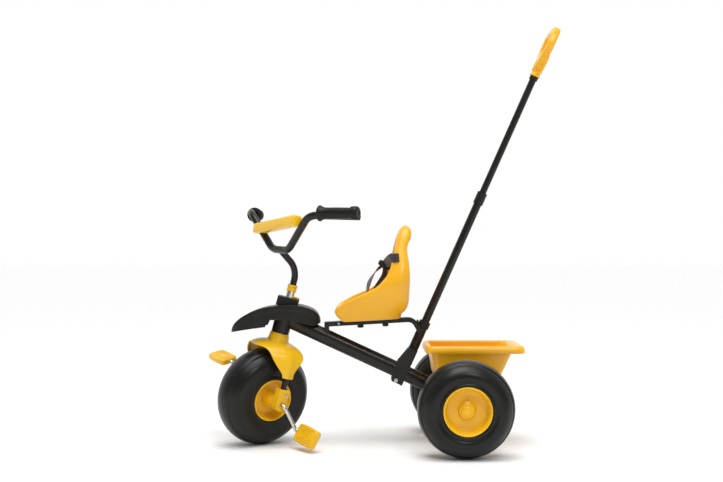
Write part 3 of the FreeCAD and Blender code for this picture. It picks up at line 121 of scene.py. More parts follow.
# %% [markdown]
# ## Finishes
# Every finish is one shader with two layers of noise: a slow one shifts the colour a little, as
# moulding and handling do, and a fast one gives the surface its grain as roughness and bump. The
# numbers that are the same all over sit on the shader itself. There are two yellows: the blown seat,
# tray and handle are a more orange yellow than the injection-moulded hubs, fender and pad.

# %% A finish from noise
FINISHES = {}
COAT_ROUGHNESS = 0.12
SLOW_DETAIL = 4.0
FAST_DETAIL = 3.0
TONE_ENDS = (0.3, 0.7)
GRAIN_HEIGHT = 0.0004


def finish(name, light, dark, roughness, grain, depth, patches=25.0, metallic=0.0, coat=0.0,
           sheen=0.0, specular=0.5):
    """A material whose colour drifts between two tones and whose skin has a fine grain."""
    made = bpy.data.materials.new(name)
    made.use_nodes = True
    nodes = made.node_tree.nodes
    links = made.node_tree.links
    shader = nodes["Principled BSDF"]
    shader.inputs["Metallic"].default_value = metallic
    shader.inputs["Coat Weight"].default_value = coat
    shader.inputs["Coat Roughness"].default_value = COAT_ROUGHNESS
    shader.inputs["Sheen Weight"].default_value = sheen
    shader.inputs["Specular IOR Level"].default_value = specular
    where = nodes.new("ShaderNodeTexCoord")
    slow = nodes.new("ShaderNodeTexNoise")
    slow.inputs["Scale"].default_value = patches
    slow.inputs["Detail"].default_value = SLOW_DETAIL
    links.new(where.outputs["Object"], slow.inputs["Vector"])
    tones = nodes.new("ShaderNodeValToRGB")
    tones.color_ramp.elements[0].position = TONE_ENDS[0]
    tones.color_ramp.elements[0].color = (*dark, 1)
    tones.color_ramp.elements[1].position = TONE_ENDS[1]
    tones.color_ramp.elements[1].color = (*light, 1)
    links.new(slow.outputs["Fac"], tones.inputs["Fac"])
    links.new(tones.outputs["Color"], shader.inputs["Base Color"])
    fast = nodes.new("ShaderNodeTexNoise")
    fast.inputs["Scale"].default_value = grain
    fast.inputs["Detail"].default_value = FAST_DETAIL
    links.new(where.outputs["Object"], fast.inputs["Vector"])
    polish = nodes.new("ShaderNodeMapRange")
    polish.inputs["To Min"].default_value = roughness[0]
    polish.inputs["To Max"].default_value = roughness[1]
    links.new(fast.outputs["Fac"], polish.inputs["Value"])
    links.new(polish.outputs["Result"], shader.inputs["Roughness"])
    bump = nodes.new("ShaderNodeBump")
    bump.inputs["Strength"].default_value = depth
    bump.inputs["Distance"].default_value = GRAIN_HEIGHT
    links.new(fast.outputs["Fac"], bump.inputs["Height"])
    links.new(bump.outputs["Normal"], shader.inputs["Normal"])
    FINISHES[name] = made
    return made


finish("yellow_blown", (0.91, 0.465, 0.012), (0.85, 0.415, 0.009), (0.27, 0.34),
       260, 0.012, patches=14, coat=0.12, specular=0.4)
finish("yellow_moulding", (0.90, 0.53, 0.012), (0.84, 0.475, 0.009), (0.26, 0.33),
       260, 0.012, patches=20, coat=0.10, specular=0.4)
finish("black_paint", (0.0150, 0.0122, 0.0098), (0.0090, 0.0073, 0.0058), (0.24, 0.34),
       320, 0.03, patches=40, coat=0.05, specular=0.28)
finish("black_moulding", (0.0140, 0.0136, 0.0118), (0.0090, 0.0086, 0.0076), (0.34, 0.44),
       500, 0.05, patches=30, specular=0.26)
finish("tyre_moulding", (0.0130, 0.0132, 0.0122), (0.0082, 0.0084, 0.0078), (0.26, 0.34),
       420, 0.03, patches=18, specular=0.24)
finish("grip_rubber", (0.0120, 0.0122, 0.0100), (0.0075, 0.0076, 0.0062), (0.38, 0.50),
       700, 0.06, patches=60, specular=0.22)
finish("chrome", (0.70, 0.69, 0.64), (0.56, 0.55, 0.50), (0.10, 0.22), 260, 0.05,
       patches=90, metallic=1.0)
finish("zinc", (0.66, 0.66, 0.63), (0.48, 0.48, 0.46), (0.25, 0.45), 500, 0.2,
       patches=160, metallic=1.0)
print("finishes:", sorted(FINISHES))

# %% [markdown]
# Webbing is woven, so its noise isn't enough: two sets of waves crossing at right angles stand for
# the warp and the weft, and their product lifts the surface thread by thread.

# %% Woven webbing
THREAD_SCALE = 260
THREAD_WAVER = 0.6
WEAVE_STRENGTH = 0.7
WEAVE_HEIGHT = 0.0005


def webbing_finish():
    """The noise finish with a woven bump added on top."""
    made = finish("webbing", (0.030, 0.027, 0.024), (0.014, 0.012, 0.011), (0.6, 0.8),
                  1500, 0.2, patches=120, sheen=0.3)
    nodes = made.node_tree.nodes
    links = made.node_tree.links
    where = nodes["Texture Coordinate"]
    threads = []
    for direction in ("X", "Z"):
        wave = nodes.new("ShaderNodeTexWave")
        wave.bands_direction = direction
        wave.inputs["Scale"].default_value = THREAD_SCALE
        wave.inputs["Distortion"].default_value = THREAD_WAVER
        links.new(where.outputs["Object"], wave.inputs["Vector"])
        threads.append(wave)
    cross = nodes.new("ShaderNodeMath")
    cross.operation = "MULTIPLY"
    for index, wave in enumerate(threads):
        links.new(wave.outputs["Fac"], cross.inputs[index])
    weave = nodes.new("ShaderNodeBump")
    weave.inputs["Strength"].default_value = WEAVE_STRENGTH
    weave.inputs["Distance"].default_value = WEAVE_HEIGHT
    links.new(cross.outputs["Value"], weave.inputs["Height"])
    links.new(nodes["Bump"].outputs["Normal"], weave.inputs["Normal"])
    links.new(weave.outputs["Normal"], nodes["Principled BSDF"].inputs["Normal"])


webbing_finish()
print("webbing nodes:", len(FINISHES["webbing"].node_tree.nodes))

# %% [markdown]
# ## Tools for making meshes
# Nearly every piece here is turned, lofted or swept. `soften` rounds the corners of a drawn outline,
# `lathe` spins a profile, `loft` skins a stack of rings, and `sweep` carries a section along a path.
# Real mouldings have no knife edges, so `settle` smooths the shading and can bevel what is left.

# %% Outlines and paths
CORNER_SHARE = 0.49
TABLE_STEPS = 10


def soften(points, radius, steps=5, closed=False):
    """The outline with its corners rounded by up to a radius."""
    points = [Vector(p) for p in points]
    count = len(points)
    result = []
    for i, corner in enumerate(points):
        if not closed and i in (0, count - 1):
            result.append(corner)
            continue
        before = points[i - 1] - corner
        after = points[(i + 1) % count] - corner
        reach = min(radius, before.length * CORNER_SHARE, after.length * CORNER_SHARE)
        start = corner + before.normalized() * reach
        end = corner + after.normalized() * reach
        for step in range(steps + 1):
            s = step / steps
            result.append(start * (1 - s) ** 2 + corner * 2 * s * (1 - s) + end * s * s)
    return result


def smooth_line(points, per_span=8):
    """A smooth curve through every point (Catmull-Rom)."""
    points = [Vector(p) for p in points]
    padded = [points[0] * 2 - points[1]] + points + [points[-1] * 2 - points[-2]]
    result = []
    for i in range(1, len(padded) - 2):
        a, b, c, d = padded[i - 1:i + 3]
        for step in range(per_span):
            s = step / per_span
            result.append(0.5 * (2 * b + (c - a) * s + (2 * a - 5 * b + 4 * c - d) * s * s
                                 + (3 * b - a - 3 * c + d) * s ** 3))
    return result + [points[-1]]


def read_off(table, at):
    """A smooth value from a table of (position, value) pairs in rising order."""
    line = smooth_line([(x, y, 0) for x, y in table], TABLE_STEPS)
    for low, high in zip(line, line[1:]):
        if low.x <= at <= high.x and high.x > low.x:
            return low.y + (high.y - low.y) * (at - low.x) / (high.x - low.x)
    return table[0][1] if at < table[0][0] else table[-1][1]


print("softened square:", len(soften([(0, 0), (1, 0), (1, 1), (0, 1)], 0.2, closed=True)), "points")

# %% [markdown]
# A turned profile may touch its own axis, where all its copies meet in one point, so `lathe` merges
# points that coincide. `sweep` keeps the section from twisting by carrying its side along the path.

# %% Turning, lofting and sweeping
SAME_POINT = 1e-4


def lathe(profile, steps=96):
    """A mesh from a closed profile of (radius, along) points, turned about Z."""
    made = bmesh.new()
    rings = []
    for step in range(steps):
        angle = 2 * math.pi * step / steps
        rings.append([made.verts.new((p[0] * math.cos(angle), p[0] * math.sin(angle), p[1]))
                      for p in profile])
    count = len(profile)
    for step in range(steps):
        near = rings[step]
        far = rings[(step + 1) % steps]
        for i in range(count):
            j = (i + 1) % count
            made.faces.new((near[i], far[i], far[j], near[j]))
    bmesh.ops.remove_doubles(made, verts=made.verts, dist=SAME_POINT)
    bmesh.ops.recalc_face_normals(made, faces=made.faces)
    return made


def loft(rings, joined_up=False):
    """A mesh through rings of equally many points, capped unless the stack closes on itself."""
    made = bmesh.new()
    rows = [[made.verts.new(p) for p in ring] for ring in rings]
    count = len(rows[0])
    last = len(rows) if joined_up else len(rows) - 1
    for r in range(last):
        low = rows[r]
        high = rows[(r + 1) % len(rows)]
        for i in range(count):
            j = (i + 1) % count
            made.faces.new((low[i], low[j], high[j], high[i]))
    if not joined_up:
        made.faces.new(rows[0][::-1])
        made.faces.new(rows[-1])
    bmesh.ops.recalc_face_normals(made, faces=made.faces)
    return made


def sweep(path, section, across=None, joined_up=False):
    """A section of (side, up) points carried along a path. `across` holds the section's side."""
    rings = []
    count = len(path)
    side = None
    for i, point in enumerate(path):
        after = path[(i + 1) % count] if joined_up else path[min(i + 1, count - 1)]
        before = path[i - 1] if joined_up else path[max(i - 1, 0)]
        along = (after - before).normalized()
        if across is not None:
            side = Vector(across(i / (count - 1)))
        elif side is None:
            side = along.orthogonal()
        side = (side - along * side.dot(along)).normalized()
        up = along.cross(side)
        rings.append([point + side * p[0] + up * p[1] for p in section])
    return loft(rings, joined_up)


def circle(radius, steps=32):
    """Points round a circle."""
    return [Vector((radius * math.cos(2 * math.pi * i / steps),
                    radius * math.sin(2 * math.pi * i / steps))) for i in range(steps)]


def rounded_box(half_x, half_y, radius, steps=5):
    """Points round a rectangle with rounded corners."""
    return soften([(half_x, -half_y), (half_x, half_y), (-half_x, half_y), (-half_x, -half_y)],
                  radius, steps, closed=True)


print("circle of", len(circle(1)), "points")

# %% [markdown]
# A new piece takes its place and its finish, rides on its body and stands in
# for the node that it replaces. `remoulded` starts from a copy of the node instead: an even grid of
# new faces, relaxed, rounds every corner at once as the flow of plastic in a mould does.

# %% Settling a piece into the model
pieces_made = []
BEVEL_STEPS = 3
WELD_GAP = 1e-5
EASE_FACTOR = 0.5


def settle(name, made, matrix, body, look, replaces=(), bevel=0.0, sharp=32.0):
    """Put a drawn mesh in its place, dress it and let it ride on its body."""
    mesh = bpy.data.meshes.new(name)
    made.to_mesh(mesh)
    made.free()
    mesh.transform(matrix)
    piece = bpy.data.objects.new(name, mesh)
    bpy.context.collection.objects.link(piece)
    mesh.materials.append(FINISHES[look])
    mesh.shade_smooth()
    mesh.set_sharp_from_angle(angle=math.radians(sharp))
    if bevel:
        edge = piece.modifiers.new("rounded_edges", "BEVEL")
        edge.width = bevel * MM
        edge.segments = BEVEL_STEPS
        edge.limit_method = "ANGLE"
        edge.angle_limit = math.radians(sharp)
        edge.harden_normals = True
    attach(piece, body)
    if replaces:
        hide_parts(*replaces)
    pieces_made.append(name)
    return piece


def remoulded(name, node, body, look, voxel, relax):
    """A soft-edged copy of a CAD node: remeshed evenly, then relaxed as a moulding's corners are."""
    mesh = frame["nodes"][node].data.copy()
    mesh.name = name
    piece = bpy.data.objects.new(name, mesh)
    bpy.context.collection.objects.link(piece)
    weld = piece.modifiers.new("weld", "WELD")
    weld.merge_threshold = WELD_GAP
    grid = piece.modifiers.new("grid", "REMESH")
    grid.mode = "VOXEL"
    grid.voxel_size = voxel * MM
    ease = piece.modifiers.new("ease", "SMOOTH")
    ease.factor = EASE_FACTOR
    ease.iterations = relax
    return baked(piece, body, look, (node,))


def baked(piece, body, look, replaces):
    """Apply a piece's modifiers, dress it and let it ride on its body."""
    bpy.context.view_layer.update()
    shape = piece.evaluated_get(bpy.context.evaluated_depsgraph_get())
    mesh = bpy.data.meshes.new_from_object(shape)
    piece.modifiers.clear()
    piece.data = mesh
    mesh.materials.clear()
    mesh.materials.append(FINISHES[look])
    mesh.shade_smooth()
    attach(piece, body)
    if replaces:
        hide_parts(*replaces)
    pieces_made.append(piece.name)
    return piece


print("ready to make pieces")

# %% [markdown]
# ## Painted and plated steel
# Tubes, forks, bolts and the crank are already right in the model: a tube is a tube. They only need
# paint or plating and the tiny rounded edge that a deburred part has, which a bevel adds. The small
# black plastic plugs, bushes and collars are turned shapes too and get the same treatment.

# %% Dress the metal nodes
PAINTED = ["main_tube", "head_tube", "axle_tube", "pole_socket", "pole_bracket", "seat_rail", "rail_foot",
           "tray_support", "fork", "handlebar", "handlebar_stem", "lower_pole", "upper_pole"]
PLATED = ["crank_axle", "steerer_tube", "bracket_bolt", "bracket_nut", "rail_rivets", "lock_pin",
          "rear_axle", "axle_washers", "axle_nuts", "seat_bolts", "tray_screws",
          "fork_end_screws"]
POLISHED = ["crank_axle", "steerer_tube"]
MOULDED = ["seat_nuts", "tail_plug", "head_bushes", "axle_bushes", "socket_collar", "socket_screw",
           "middle_collar", "handle_collar"]
PAINT_EDGE = 0.5
PLATE_EDGE = 0.3
PLASTIC_EDGE = 0.6
EASED_ANGLE = 40


def dress(node, look, width):
    """Give a CAD node its finish, welded and with its sharp edges eased."""
    part = frame["nodes"][node]
    part.data.materials.clear()
    part.data.materials.append(FINISHES[look])
    part.modifiers.new("weld", "WELD").merge_threshold = WELD_GAP
    edge = part.modifiers.new("eased_edges", "BEVEL")
    edge.width = width * MM
    edge.segments = 2
    edge.limit_method = "ANGLE"
    edge.angle_limit = math.radians(EASED_ANGLE)
    part.modifiers.new("shading", "WEIGHTED_NORMAL").keep_sharp = True


for node in PAINTED:
    dress(node, "black_paint", PAINT_EDGE)
for node in PLATED:
    dress(node, "chrome" if node in POLISHED else "zinc", PLATE_EDGE)
for node in MOULDED:
    dress(node, "black_moulding", PLASTIC_EDGE)
print("dressed", len(PAINTED + PLATED + MOULDED), "nodes")

# %% [markdown]
# ## Tyres
# The tyres are hollow plastic, smooth in the flank, with one groove round each shoulder and a raised
# bead where they grip the hub. A lathe profile says all of that: the crown is one arc, the groove a
# dip in it, and the shoulder just below the groove catches the light as a thin ring.

# %% Front and rear tyres
GROOVE_AT = 27
SHOULDER_STEP = 2.2
TYRE_STEPS = 160


def tyre_profile(radius, half, crown, bead):
    """Half sections of tread, shoulder, flank and bead, mirrored into one closed outline."""
    centre = radius - crown

    def tread(t, drop=0.0):
        return (centre + math.sqrt(crown * crown - t * t) - drop, t)

    side = [tread(t) for t in (0, 6, 12, 18, 23)]
    side += [tread(GROOVE_AT - 2, 0.3), tread(GROOVE_AT - 0.9, 2.0), tread(GROOVE_AT + 0.9, 3.0),
             tread(GROOVE_AT + 2.4, 1.7), tread(GROOVE_AT + 4.5, 1.2), tread(GROOVE_AT + 7, 1.3)]
    side += [tread(t, SHOULDER_STEP * 0.8) for t in (38, 42, 46)]
    shoulder = centre + math.sqrt(crown * crown - half * half)
    side += [(shoulder - 2, half - 1.6), (shoulder - 8, half - 0.7), (shoulder - 16, half - 0.6)]
    side += [(bead + 12, half - 2.4), (bead + 8.5, half - 3.2), (bead + 7, half - 3.0),
             (bead + 5.6, half - 1.4), (bead + 3.4, half - 0.8), (bead + 1.3, half - 1.8),
             (bead + 0.3, half - 4.5), (bead + 0.3, half - 14), (bead + 5, half - 14)]
    return side + [(r, -t) for r, t in side[:0:-1]]


def tyre(name, radius, half, crown, bead, matrix, body):
    """A turned tyre in place of the node that its name begins with."""
    made = lathe(tyre_profile(radius, half, crown, bead), TYRE_STEPS)
    settle(name, made, matrix, body, "tyre_moulding", [name.removesuffix("_cover")], sharp=55)


REAR = {"radius": 117.5, "half": 51, "crown": 60, "bead": 59}
FRONT = {"radius": 124.8, "half": 50.8, "crown": 60, "bead": 54}
rear_frames = {}
for side, name in ((1, "left"), (-1, "right")):
    middle = Vector(joints[f"rear_{name}_spin"]["pos_m"])
    rear_frames[name] = place(middle, FORWARD, LEFT * side)
    tyre(f"rear_tyre_{name}_cover", **REAR, matrix=rear_frames[name], body=f"rear_wheel_{name}")
WHEEL = place(wheel_centre, steer_axis.cross(wheel_axis), wheel_axis)
tyre("front_tyre_cover", **FRONT, matrix=WHEEL, body="front_wheel")
print("tyres:", pieces_made)

# %% [markdown]
# ## Hubs and caps
# Each hub is a yellow dish: a bright narrow rim, a sloping wall, a flat floor and a boss. The rear
# boss wears a stepped snap-on cap with a small key at its edge. All of it is turned from a profile,
# then the key is added as a small rounded block.

# %% Rear hubs and caps
HUB_BORE = 5.5
HUB_STEPS = 128


def hub_profile(bead, face, floor_at, boss, boss_top, back):
    """A dish from the rim's face down to its floor and up its boss, closed behind."""
    front = [(bead - 0.2, face - 3.5), (bead - 0.8, face - 0.9), (bead - 2, face), (bead - 3.4, face - 0.3),
             (bead - 4.6, face - 1.8), (bead - 5.6, face - 5), (bead - 9, floor_at + 8),
             (bead - 10.5, floor_at + 3), (bead - 13, floor_at + 0.6), (bead - 17, floor_at)]
    middle = [(boss + 4, floor_at), (boss + 1.2, floor_at + 1), (boss, floor_at + 3.5),
              (boss - 1.2, boss_top - 1), (boss - 2.2, boss_top), (HUB_BORE, boss_top)]
    rear = [(HUB_BORE, back), (boss, back), (bead - 14, floor_at - 6), (bead - 5, back + 2),
            (bead - 0.2, back + 2)]
    return front + middle + rear


CAP_OUTLINE = [(0, 24), (19, 24), (19.6, 26), (19.4, 29), (18.2, 31.2), (15, 32.2), (14.2, 33.6),
               (13.6, 35.4), (11.6, 36.4), (9.8, 36.3), (9.2, 37.4), (7.5, 38.4), (4, 39), (0, 39.1)]
CAP_STEPS = 96
KEY_SIZE = (13, 7, 5)
KEY_AT = (0, 20, 28.6)
for name, matrix in rear_frames.items():
    body = f"rear_wheel_{name}"
    profile = hub_profile(REAR["bead"], face=50, floor_at=20, boss=20, boss_top=27, back=-48)
    hub = lathe(profile, HUB_STEPS)
    settle(f"rear_hub_{name}_dish", hub, matrix, body, "yellow_moulding", [f"rear_hub_{name}"], sharp=50)
    made = lathe(soften([(r, t, 0) for r, t in CAP_OUTLINE], 0.5, 2), CAP_STEPS)
    key = bmesh.ops.create_cube(made, size=1.0)["verts"]
    bmesh.ops.scale(made, verts=key, vec=KEY_SIZE)
    bmesh.ops.translate(made, verts=key, vec=KEY_AT)
    cap_matrix = turned_about(matrix, 180) if name == "left" else matrix
    settle(f"hub_cap_{name}_dome", made, cap_matrix, body, "yellow_moulding", [f"hub_cap_{name}"],
           bevel=0.8, sharp=50)
print("rear hubs and caps made")

# %% [markdown]
# The front wheel has no caps. The boss of each of its hubs is a long cone that reaches out to the
# fork end, so the crank's axle is held along a good length. Both halves are the same turned dish.

# %% Front hubs
FRONT_HUB = [(53.8, 46.5), (53.2, 49.1), (52, 50), (50.6, 49.7), (49.4, 48), (48.4, 44), (44.6, 28),
             (43, 23), (40, 20.6), (35, 20), (24, 20), (20.5, 21.5), (19, 25), (17.6, 40), (15.5, 52),
             (12.6, 62), (11, 66.3), (6, 66.3), (6, 2), (14, 2), (34, 12), (44, 2), (53.8, 2)]
for side, name in ((1, "left"), (-1, "right")):
    matrix = WHEEL if side == 1 else turned_about(WHEEL, 180, "X")
    settle(f"front_hub_{name}_dish", lathe(FRONT_HUB, HUB_STEPS), matrix, "front_wheel",
           "yellow_moulding", [f"front_hub_{name}"], sharp=50)
print("front hubs made")

# %% [markdown]
# ## Fairing
# The black fairing over the head is a thin moulding whose form the model mostly has. A softened copy
# rounds its corners. Two things are then added by moving its points: the beak grows a little longer
# and lower towards its tip, and the sides tuck in below a crease that follows the crown line.

# %% Fairing
fairing = remoulded("fairing_moulding", "front_console", "frame", "black_moulding", 1.0, 5)
BEAK_FROM = 20
BEAK_REACH = 54
BEAK_GROWS = 7
BEAK_DROPS = 4
CREASE_DROP = 13
CREASE_TUCK = 0.055
CREASE_BLEND = 3
CROWN_OUTLINE = [(-147, 187), (-135, 217), (-116, 227), (-64, 234), (-4, 227), (52, 203), (74, 167)]
for vertex in fairing.data.vertices:
    ahead, left, rise = (vertex.co - wheel_centre) / MM
    below = read_off(CROWN_OUTLINE, ahead) - CREASE_DROP - rise
    tuck = CREASE_TUCK * min(1.0, max(0.0, below / CREASE_BLEND))
    nose = max(0.0, (ahead - BEAK_FROM) / BEAK_REACH) ** 2
    moved = Vector((ahead + BEAK_GROWS * nose, left * (1 - tuck), rise - BEAK_DROPS * nose))
    vertex.co = wheel_centre + moved * MM
print("fairing:", len(fairing.data.vertices), "points")

# %% [markdown]
# ## Steering lock
# Behind the fairing a small black housing holds a yellow lever that locks the steering. The housing
# is a softened copy of its node. The lever is one side outline, lofted across its width and drawn in
# at both ends so that its edges are round. It tips about its hinge.

# %% Lock housing and lever
remoulded("lock_housing_moulding", "lock_housing", "frame", "black_moulding", 0.7, 5)
LEVER_TIP = -14
LEVER_HALF = 12
LEVER_SIDE = [(9, -2.8), (9.6, 1.4), (4, 3.4), (-3, 3.6), (-10, 2.8), (-11.4, 0.8), (-9.6, -0.8),
              (-4, -1.4), (0, -3.2)]
LEVER_LAYERS = ((-LEVER_HALF, 0.8), (-LEVER_HALF + 0.6, 0.95), (-LEVER_HALF + 1.8, 1.0),
                (LEVER_HALF - 1.8, 1.0), (LEVER_HALF - 0.6, 0.95), (LEVER_HALF, 0.8))
hinge = Vector(joints["lock_lever_hinge"]["pos_m"])
lever_place = turned_about(place(hinge, FORWARD, UP), LEVER_TIP, "Y")
lever_side = soften(LEVER_SIDE, 1.6, 4, closed=True)
lever_rows = [[Vector((p.x * grow, y, p.y * grow)) for p in lever_side] for y, grow in LEVER_LAYERS]
settle("lock_lever_moulding", loft(lever_rows), lever_place, "lock_lever", "yellow_moulding",
       ("lock_lever",), sharp=60)
print("lock lever:", len(lever_side), "points round its side")

# %% [markdown]
# ## Fork ends
# A yellow end cap closes each leg of the fork and holds the wheel's axle. Both are softened copies.

# %% Fork ends
for name in ("left", "right"):
    remoulded(f"fork_end_{name}_moulding", f"fork_end_{name}", "fork", "yellow_moulding", 0.6, 4)
print("fork ends:", pieces_made[-2:])

# %% [markdown]
# ## Fender
# The fender is one saddle-shaped sheet: it hoods the wheel in front, wraps both fork legs as sleeves
# and flares out behind. A grid does it. Across the wheel each row follows one arch, from sleeve to
# sleeve; along the wheel each column runs from the front edge to the back edge, which are two smooth
# lines. A ridge runs down each leg. Thickness and a rounded lip are added last, and the collar under
# the head is turned.

# %% The fender's lines
ARCH_WIDE = [(0, 0), (0.16, 23), (0.32, 47), (0.44, 63), (0.55, 75), (0.66, 82), (0.8, 86), (1.0, 88)]
ARCH_HIGH = [(0, 148), (0.16, 147), (0.32, 143), (0.44, 136), (0.55, 124), (0.66, 108), (0.8, 88),
             (1.0, 66)]
FRONT_EDGE = [(0, 70), (0.16, 68), (0.32, 61), (0.44, 55), (0.55, 50), (0.66, 43), (0.8, 29), (0.9, 19),
              (1.0, 16)]
BACK_EDGE = [(0, -36), (0.32, -36), (0.46, -38), (0.56, -38), (0.66, -31), (0.76, -22), (0.86, -17),
             (1.0, -16)]
CROWN_LINE = [(-46, 8), (-36, 4), (-24, 0), (0, 0), (20, 1), (40, 6), (60, 15), (72, 20)]
HOOD_END = 0.86
HOOD_PULL = 0.3
PULL_FROM = 16
PULL_OVER = 54
FLARE_RISE = 9
FLARE_FROM = 0.55
FLARE_END = 0.9
RIDGE_RISE = 5
RIDGE_HALF = 12
RIDGE_FROM = 0.2
RIDGE_BLEND = 0.35
RIDGE_LIFT = 0.3
MIDDLE_STRIP = 0.05


def fender_point(across, along):
    """A point of the sheet: across runs -1 to 1 over the wheel, along runs 0 at the front to 1."""
    t = abs(across)
    front = read_off(FRONT_EDGE, t)
    ahead = front + (read_off(BACK_EDGE, t) - front) * along
    hood = max(0.0, 1 - (t / HOOD_END) ** 2)
    drop = read_off(CROWN_LINE, ahead) * hood
    flare = FLARE_RISE * max(0.0, along - FLARE_FROM) ** 1.5 * math.sin(math.pi * min(t / FLARE_END, 1))
    fade = min(1.0, max(0.0, (t - RIDGE_FROM) / RIDGE_BLEND))
    ridge = RIDGE_RISE * math.exp(-(ahead / RIDGE_HALF) ** 2) * fade
    pull = 1 - HOOD_PULL * max(0.0, ahead - PULL_FROM) / PULL_OVER
    wide = read_off(ARCH_WIDE, t)
    side = wide * pull + flare * 2 + ridge * min(t * 1.3, 1) - RIDGE_RISE
    side = max(0.0, side) if t > MIDDLE_STRIP else wide
    high = read_off(ARCH_HIGH, t) - drop + ridge * RIDGE_LIFT * (1 - t)
    return Vector((ahead, math.copysign(side, across), high))


print("fender crown", [round(v) for v in fender_point(0, 0)], "mm from the wheel's centre")

# %% Fender sheet
FENDER_ACROSS = 72
FENDER_ALONG = 28
FENDER_SHEET = 2.5
FENDER_LIP = 0.8
LIP_ANGLE = 50
sheet = bmesh.new()
knots = [[sheet.verts.new(fender_point(-1 + 2 * i / FENDER_ACROSS, j / FENDER_ALONG))
          for j in range(FENDER_ALONG + 1)] for i in range(FENDER_ACROSS + 1)]
for i in range(FENDER_ACROSS):
    for j in range(FENDER_ALONG):
        sheet.faces.new((knots[i][j], knots[i + 1][j], knots[i + 1][j + 1], knots[i][j + 1]))
bmesh.ops.recalc_face_normals(sheet, faces=sheet.faces)
fender = settle("fender_moulding", sheet, FORK, "fork", "yellow_moulding", ("front_fender",), sharp=75)
thickness = fender.modifiers.new("thickness", "SOLIDIFY")
thickness.thickness = FENDER_SHEET * MM
thickness.offset = -1.0
lip = fender.modifiers.new("rounded_edges", "BEVEL")
lip.width = FENDER_LIP * MM
lip.segments = 2
lip.limit_method = "ANGLE"
lip.angle_limit = math.radians(LIP_ANGLE)
print("fender sheet:", FENDER_ACROSS * FENDER_ALONG, "faces")

# %% Fender collar
FENDER_COLLAR = [(11.5, 144), (30, 144), (27.4, 149), (26.2, 155), (25.6, 162.2), (25, 163),
                 (24.2, 163.2), (24.2, 166), (23.4, 166.8), (11.5, 166.8)]
settle("fender_collar", lathe(FENDER_COLLAR, 72), FORK, "fork", "yellow_moulding", sharp=50)
print("fender collar made")

# %% [markdown]
# ## Seat
# The seat is blow-moulded: a tall rounded back that runs down into two wings and a wide front lip,
# with a hollow for the child. Its outside is a loft of level rings whose front, back and half width
# are read off three smooth lines. A second loft is the space that the child sits in. Taking one from
# the other and relaxing the result gives thick, rounded rims.

# %% Seat shell
SEAT_BACK_LINE = [(0, 23), (9, 23), (13, 20), (22, 9), (38, 2.5), (62, -0.5), (100, -4), (140, -3.5),
                  (170, -1), (186, -4), (198, -11), (212, -15), (226, -13), (236, -4)]
SEAT_FRONT_LINE = [(0, 170), (12, 183), (26, 190), (36, 187), (42, 180), (57, 149), (70, 115), (84, 84),
                   (112, 55), (145, 41), (172, 33), (200, 25), (220, 17), (231, 9), (236, 2)]
SEAT_HALF_LINE = [(0, 69), (16, 80), (45, 92.5), (80, 98), (110, 95), (145, 84), (185, 66), (212, 53),
                  (226, 42), (233, 30), (236, 20)]
HOLLOW_BACK_LINE = [(19, 62), (26, 34), (44, 20), (80, 11), (120, 8), (160, 8), (190, 9), (206, 13),
                    (216, 20)]
HOLLOW_FRONT_LINE = [(19, 120), (26, 158), (36, 172), (43.5, 180), (45, 184)]
HOLLOW_HALF_LINE = [(19, 40), (26, 70), (44, 82), (80, 85), (110, 82), (145, 71), (172, 53), (195, 36),
                    (208, 24), (216, 12)]
SEAT_TOP = 236
HOLLOW_LOW = 19
HOLLOW_TOP = 216
BEYOND = 260
LIP_HEIGHT = 46
SEAT_CORNER_SHARE = 0.48
RING_STEPS = 8
SEAT_ROUNDS = (46, 16)
HOLLOW_ROUNDS = (40, 4)


def level_ring(back, front, half, z, back_round, front_round):
    """A level rounded outline of the seat at one height."""
    corners = [((front, -half), front_round), ((front, half), front_round),
               ((back, half), back_round), ((back, -half), back_round)]
    result = []
    count = len(corners)
    for i, (corner, radius) in enumerate(corners):
        before = Vector(corners[i - 1][0]) - Vector(corner)
        after = Vector(corners[(i + 1) % count][0]) - Vector(corner)
        reach = min(radius, before.length * SEAT_CORNER_SHARE, after.length * SEAT_CORNER_SHARE)
        start = Vector(corner) + before.normalized() * reach
        end = Vector(corner) + after.normalized() * reach
        for step in range(RING_STEPS + 1):
            s = step / RING_STEPS
            spot = start * (1 - s) ** 2 + Vector(corner) * 2 * s * (1 - s) + end * s * s
            result.append(Vector((spot.x, spot.y, z)))
    return result


def levels(low, high, count):
    """Evenly spaced heights from low to high."""
    return [low + (high - low) * i / (count - 1) for i in range(count)]


outside = []
for z in levels(0, SEAT_TOP, 90):
    back, front, half = (read_off(line, z) for line in (SEAT_BACK_LINE, SEAT_FRONT_LINE, SEAT_HALF_LINE))
    outside.append(level_ring(back, front, half, z, *SEAT_ROUNDS))
hollow = []
for z in levels(HOLLOW_LOW, HOLLOW_TOP, 80):
    back, half = (read_off(line, z) for line in (HOLLOW_BACK_LINE, HOLLOW_HALF_LINE))
    front = read_off(HOLLOW_FRONT_LINE, z) if z < LIP_HEIGHT - 1 else BEYOND
    hollow.append(level_ring(back, front, half, z, *HOLLOW_ROUNDS))
print("seat rings:", len(outside), "outside,", len(hollow), "in the hollow")

# %% [markdown]
# The hollow's rings run out past the front above the lip, so the seat opens forwards there. Cutting
# leaves knife edges; remeshing on an even grid and relaxing turns them into the thick round rims
# that blowing leaves.

# %% Cut the hollow and round the rims
SEAT_VOXEL = 1.8
SEAT_EASE = 0.6
SEAT_RELAX = 14


def seat_object(name, rings):
    """A lofted solid as an object, ready for the boolean."""
    made = loft(rings)
    mesh = bpy.data.meshes.new(name)
    made.to_mesh(mesh)
    made.free()
    mesh.transform(SEAT)
    piece = bpy.data.objects.new(name, mesh)
    bpy.context.collection.objects.link(piece)
    return piece


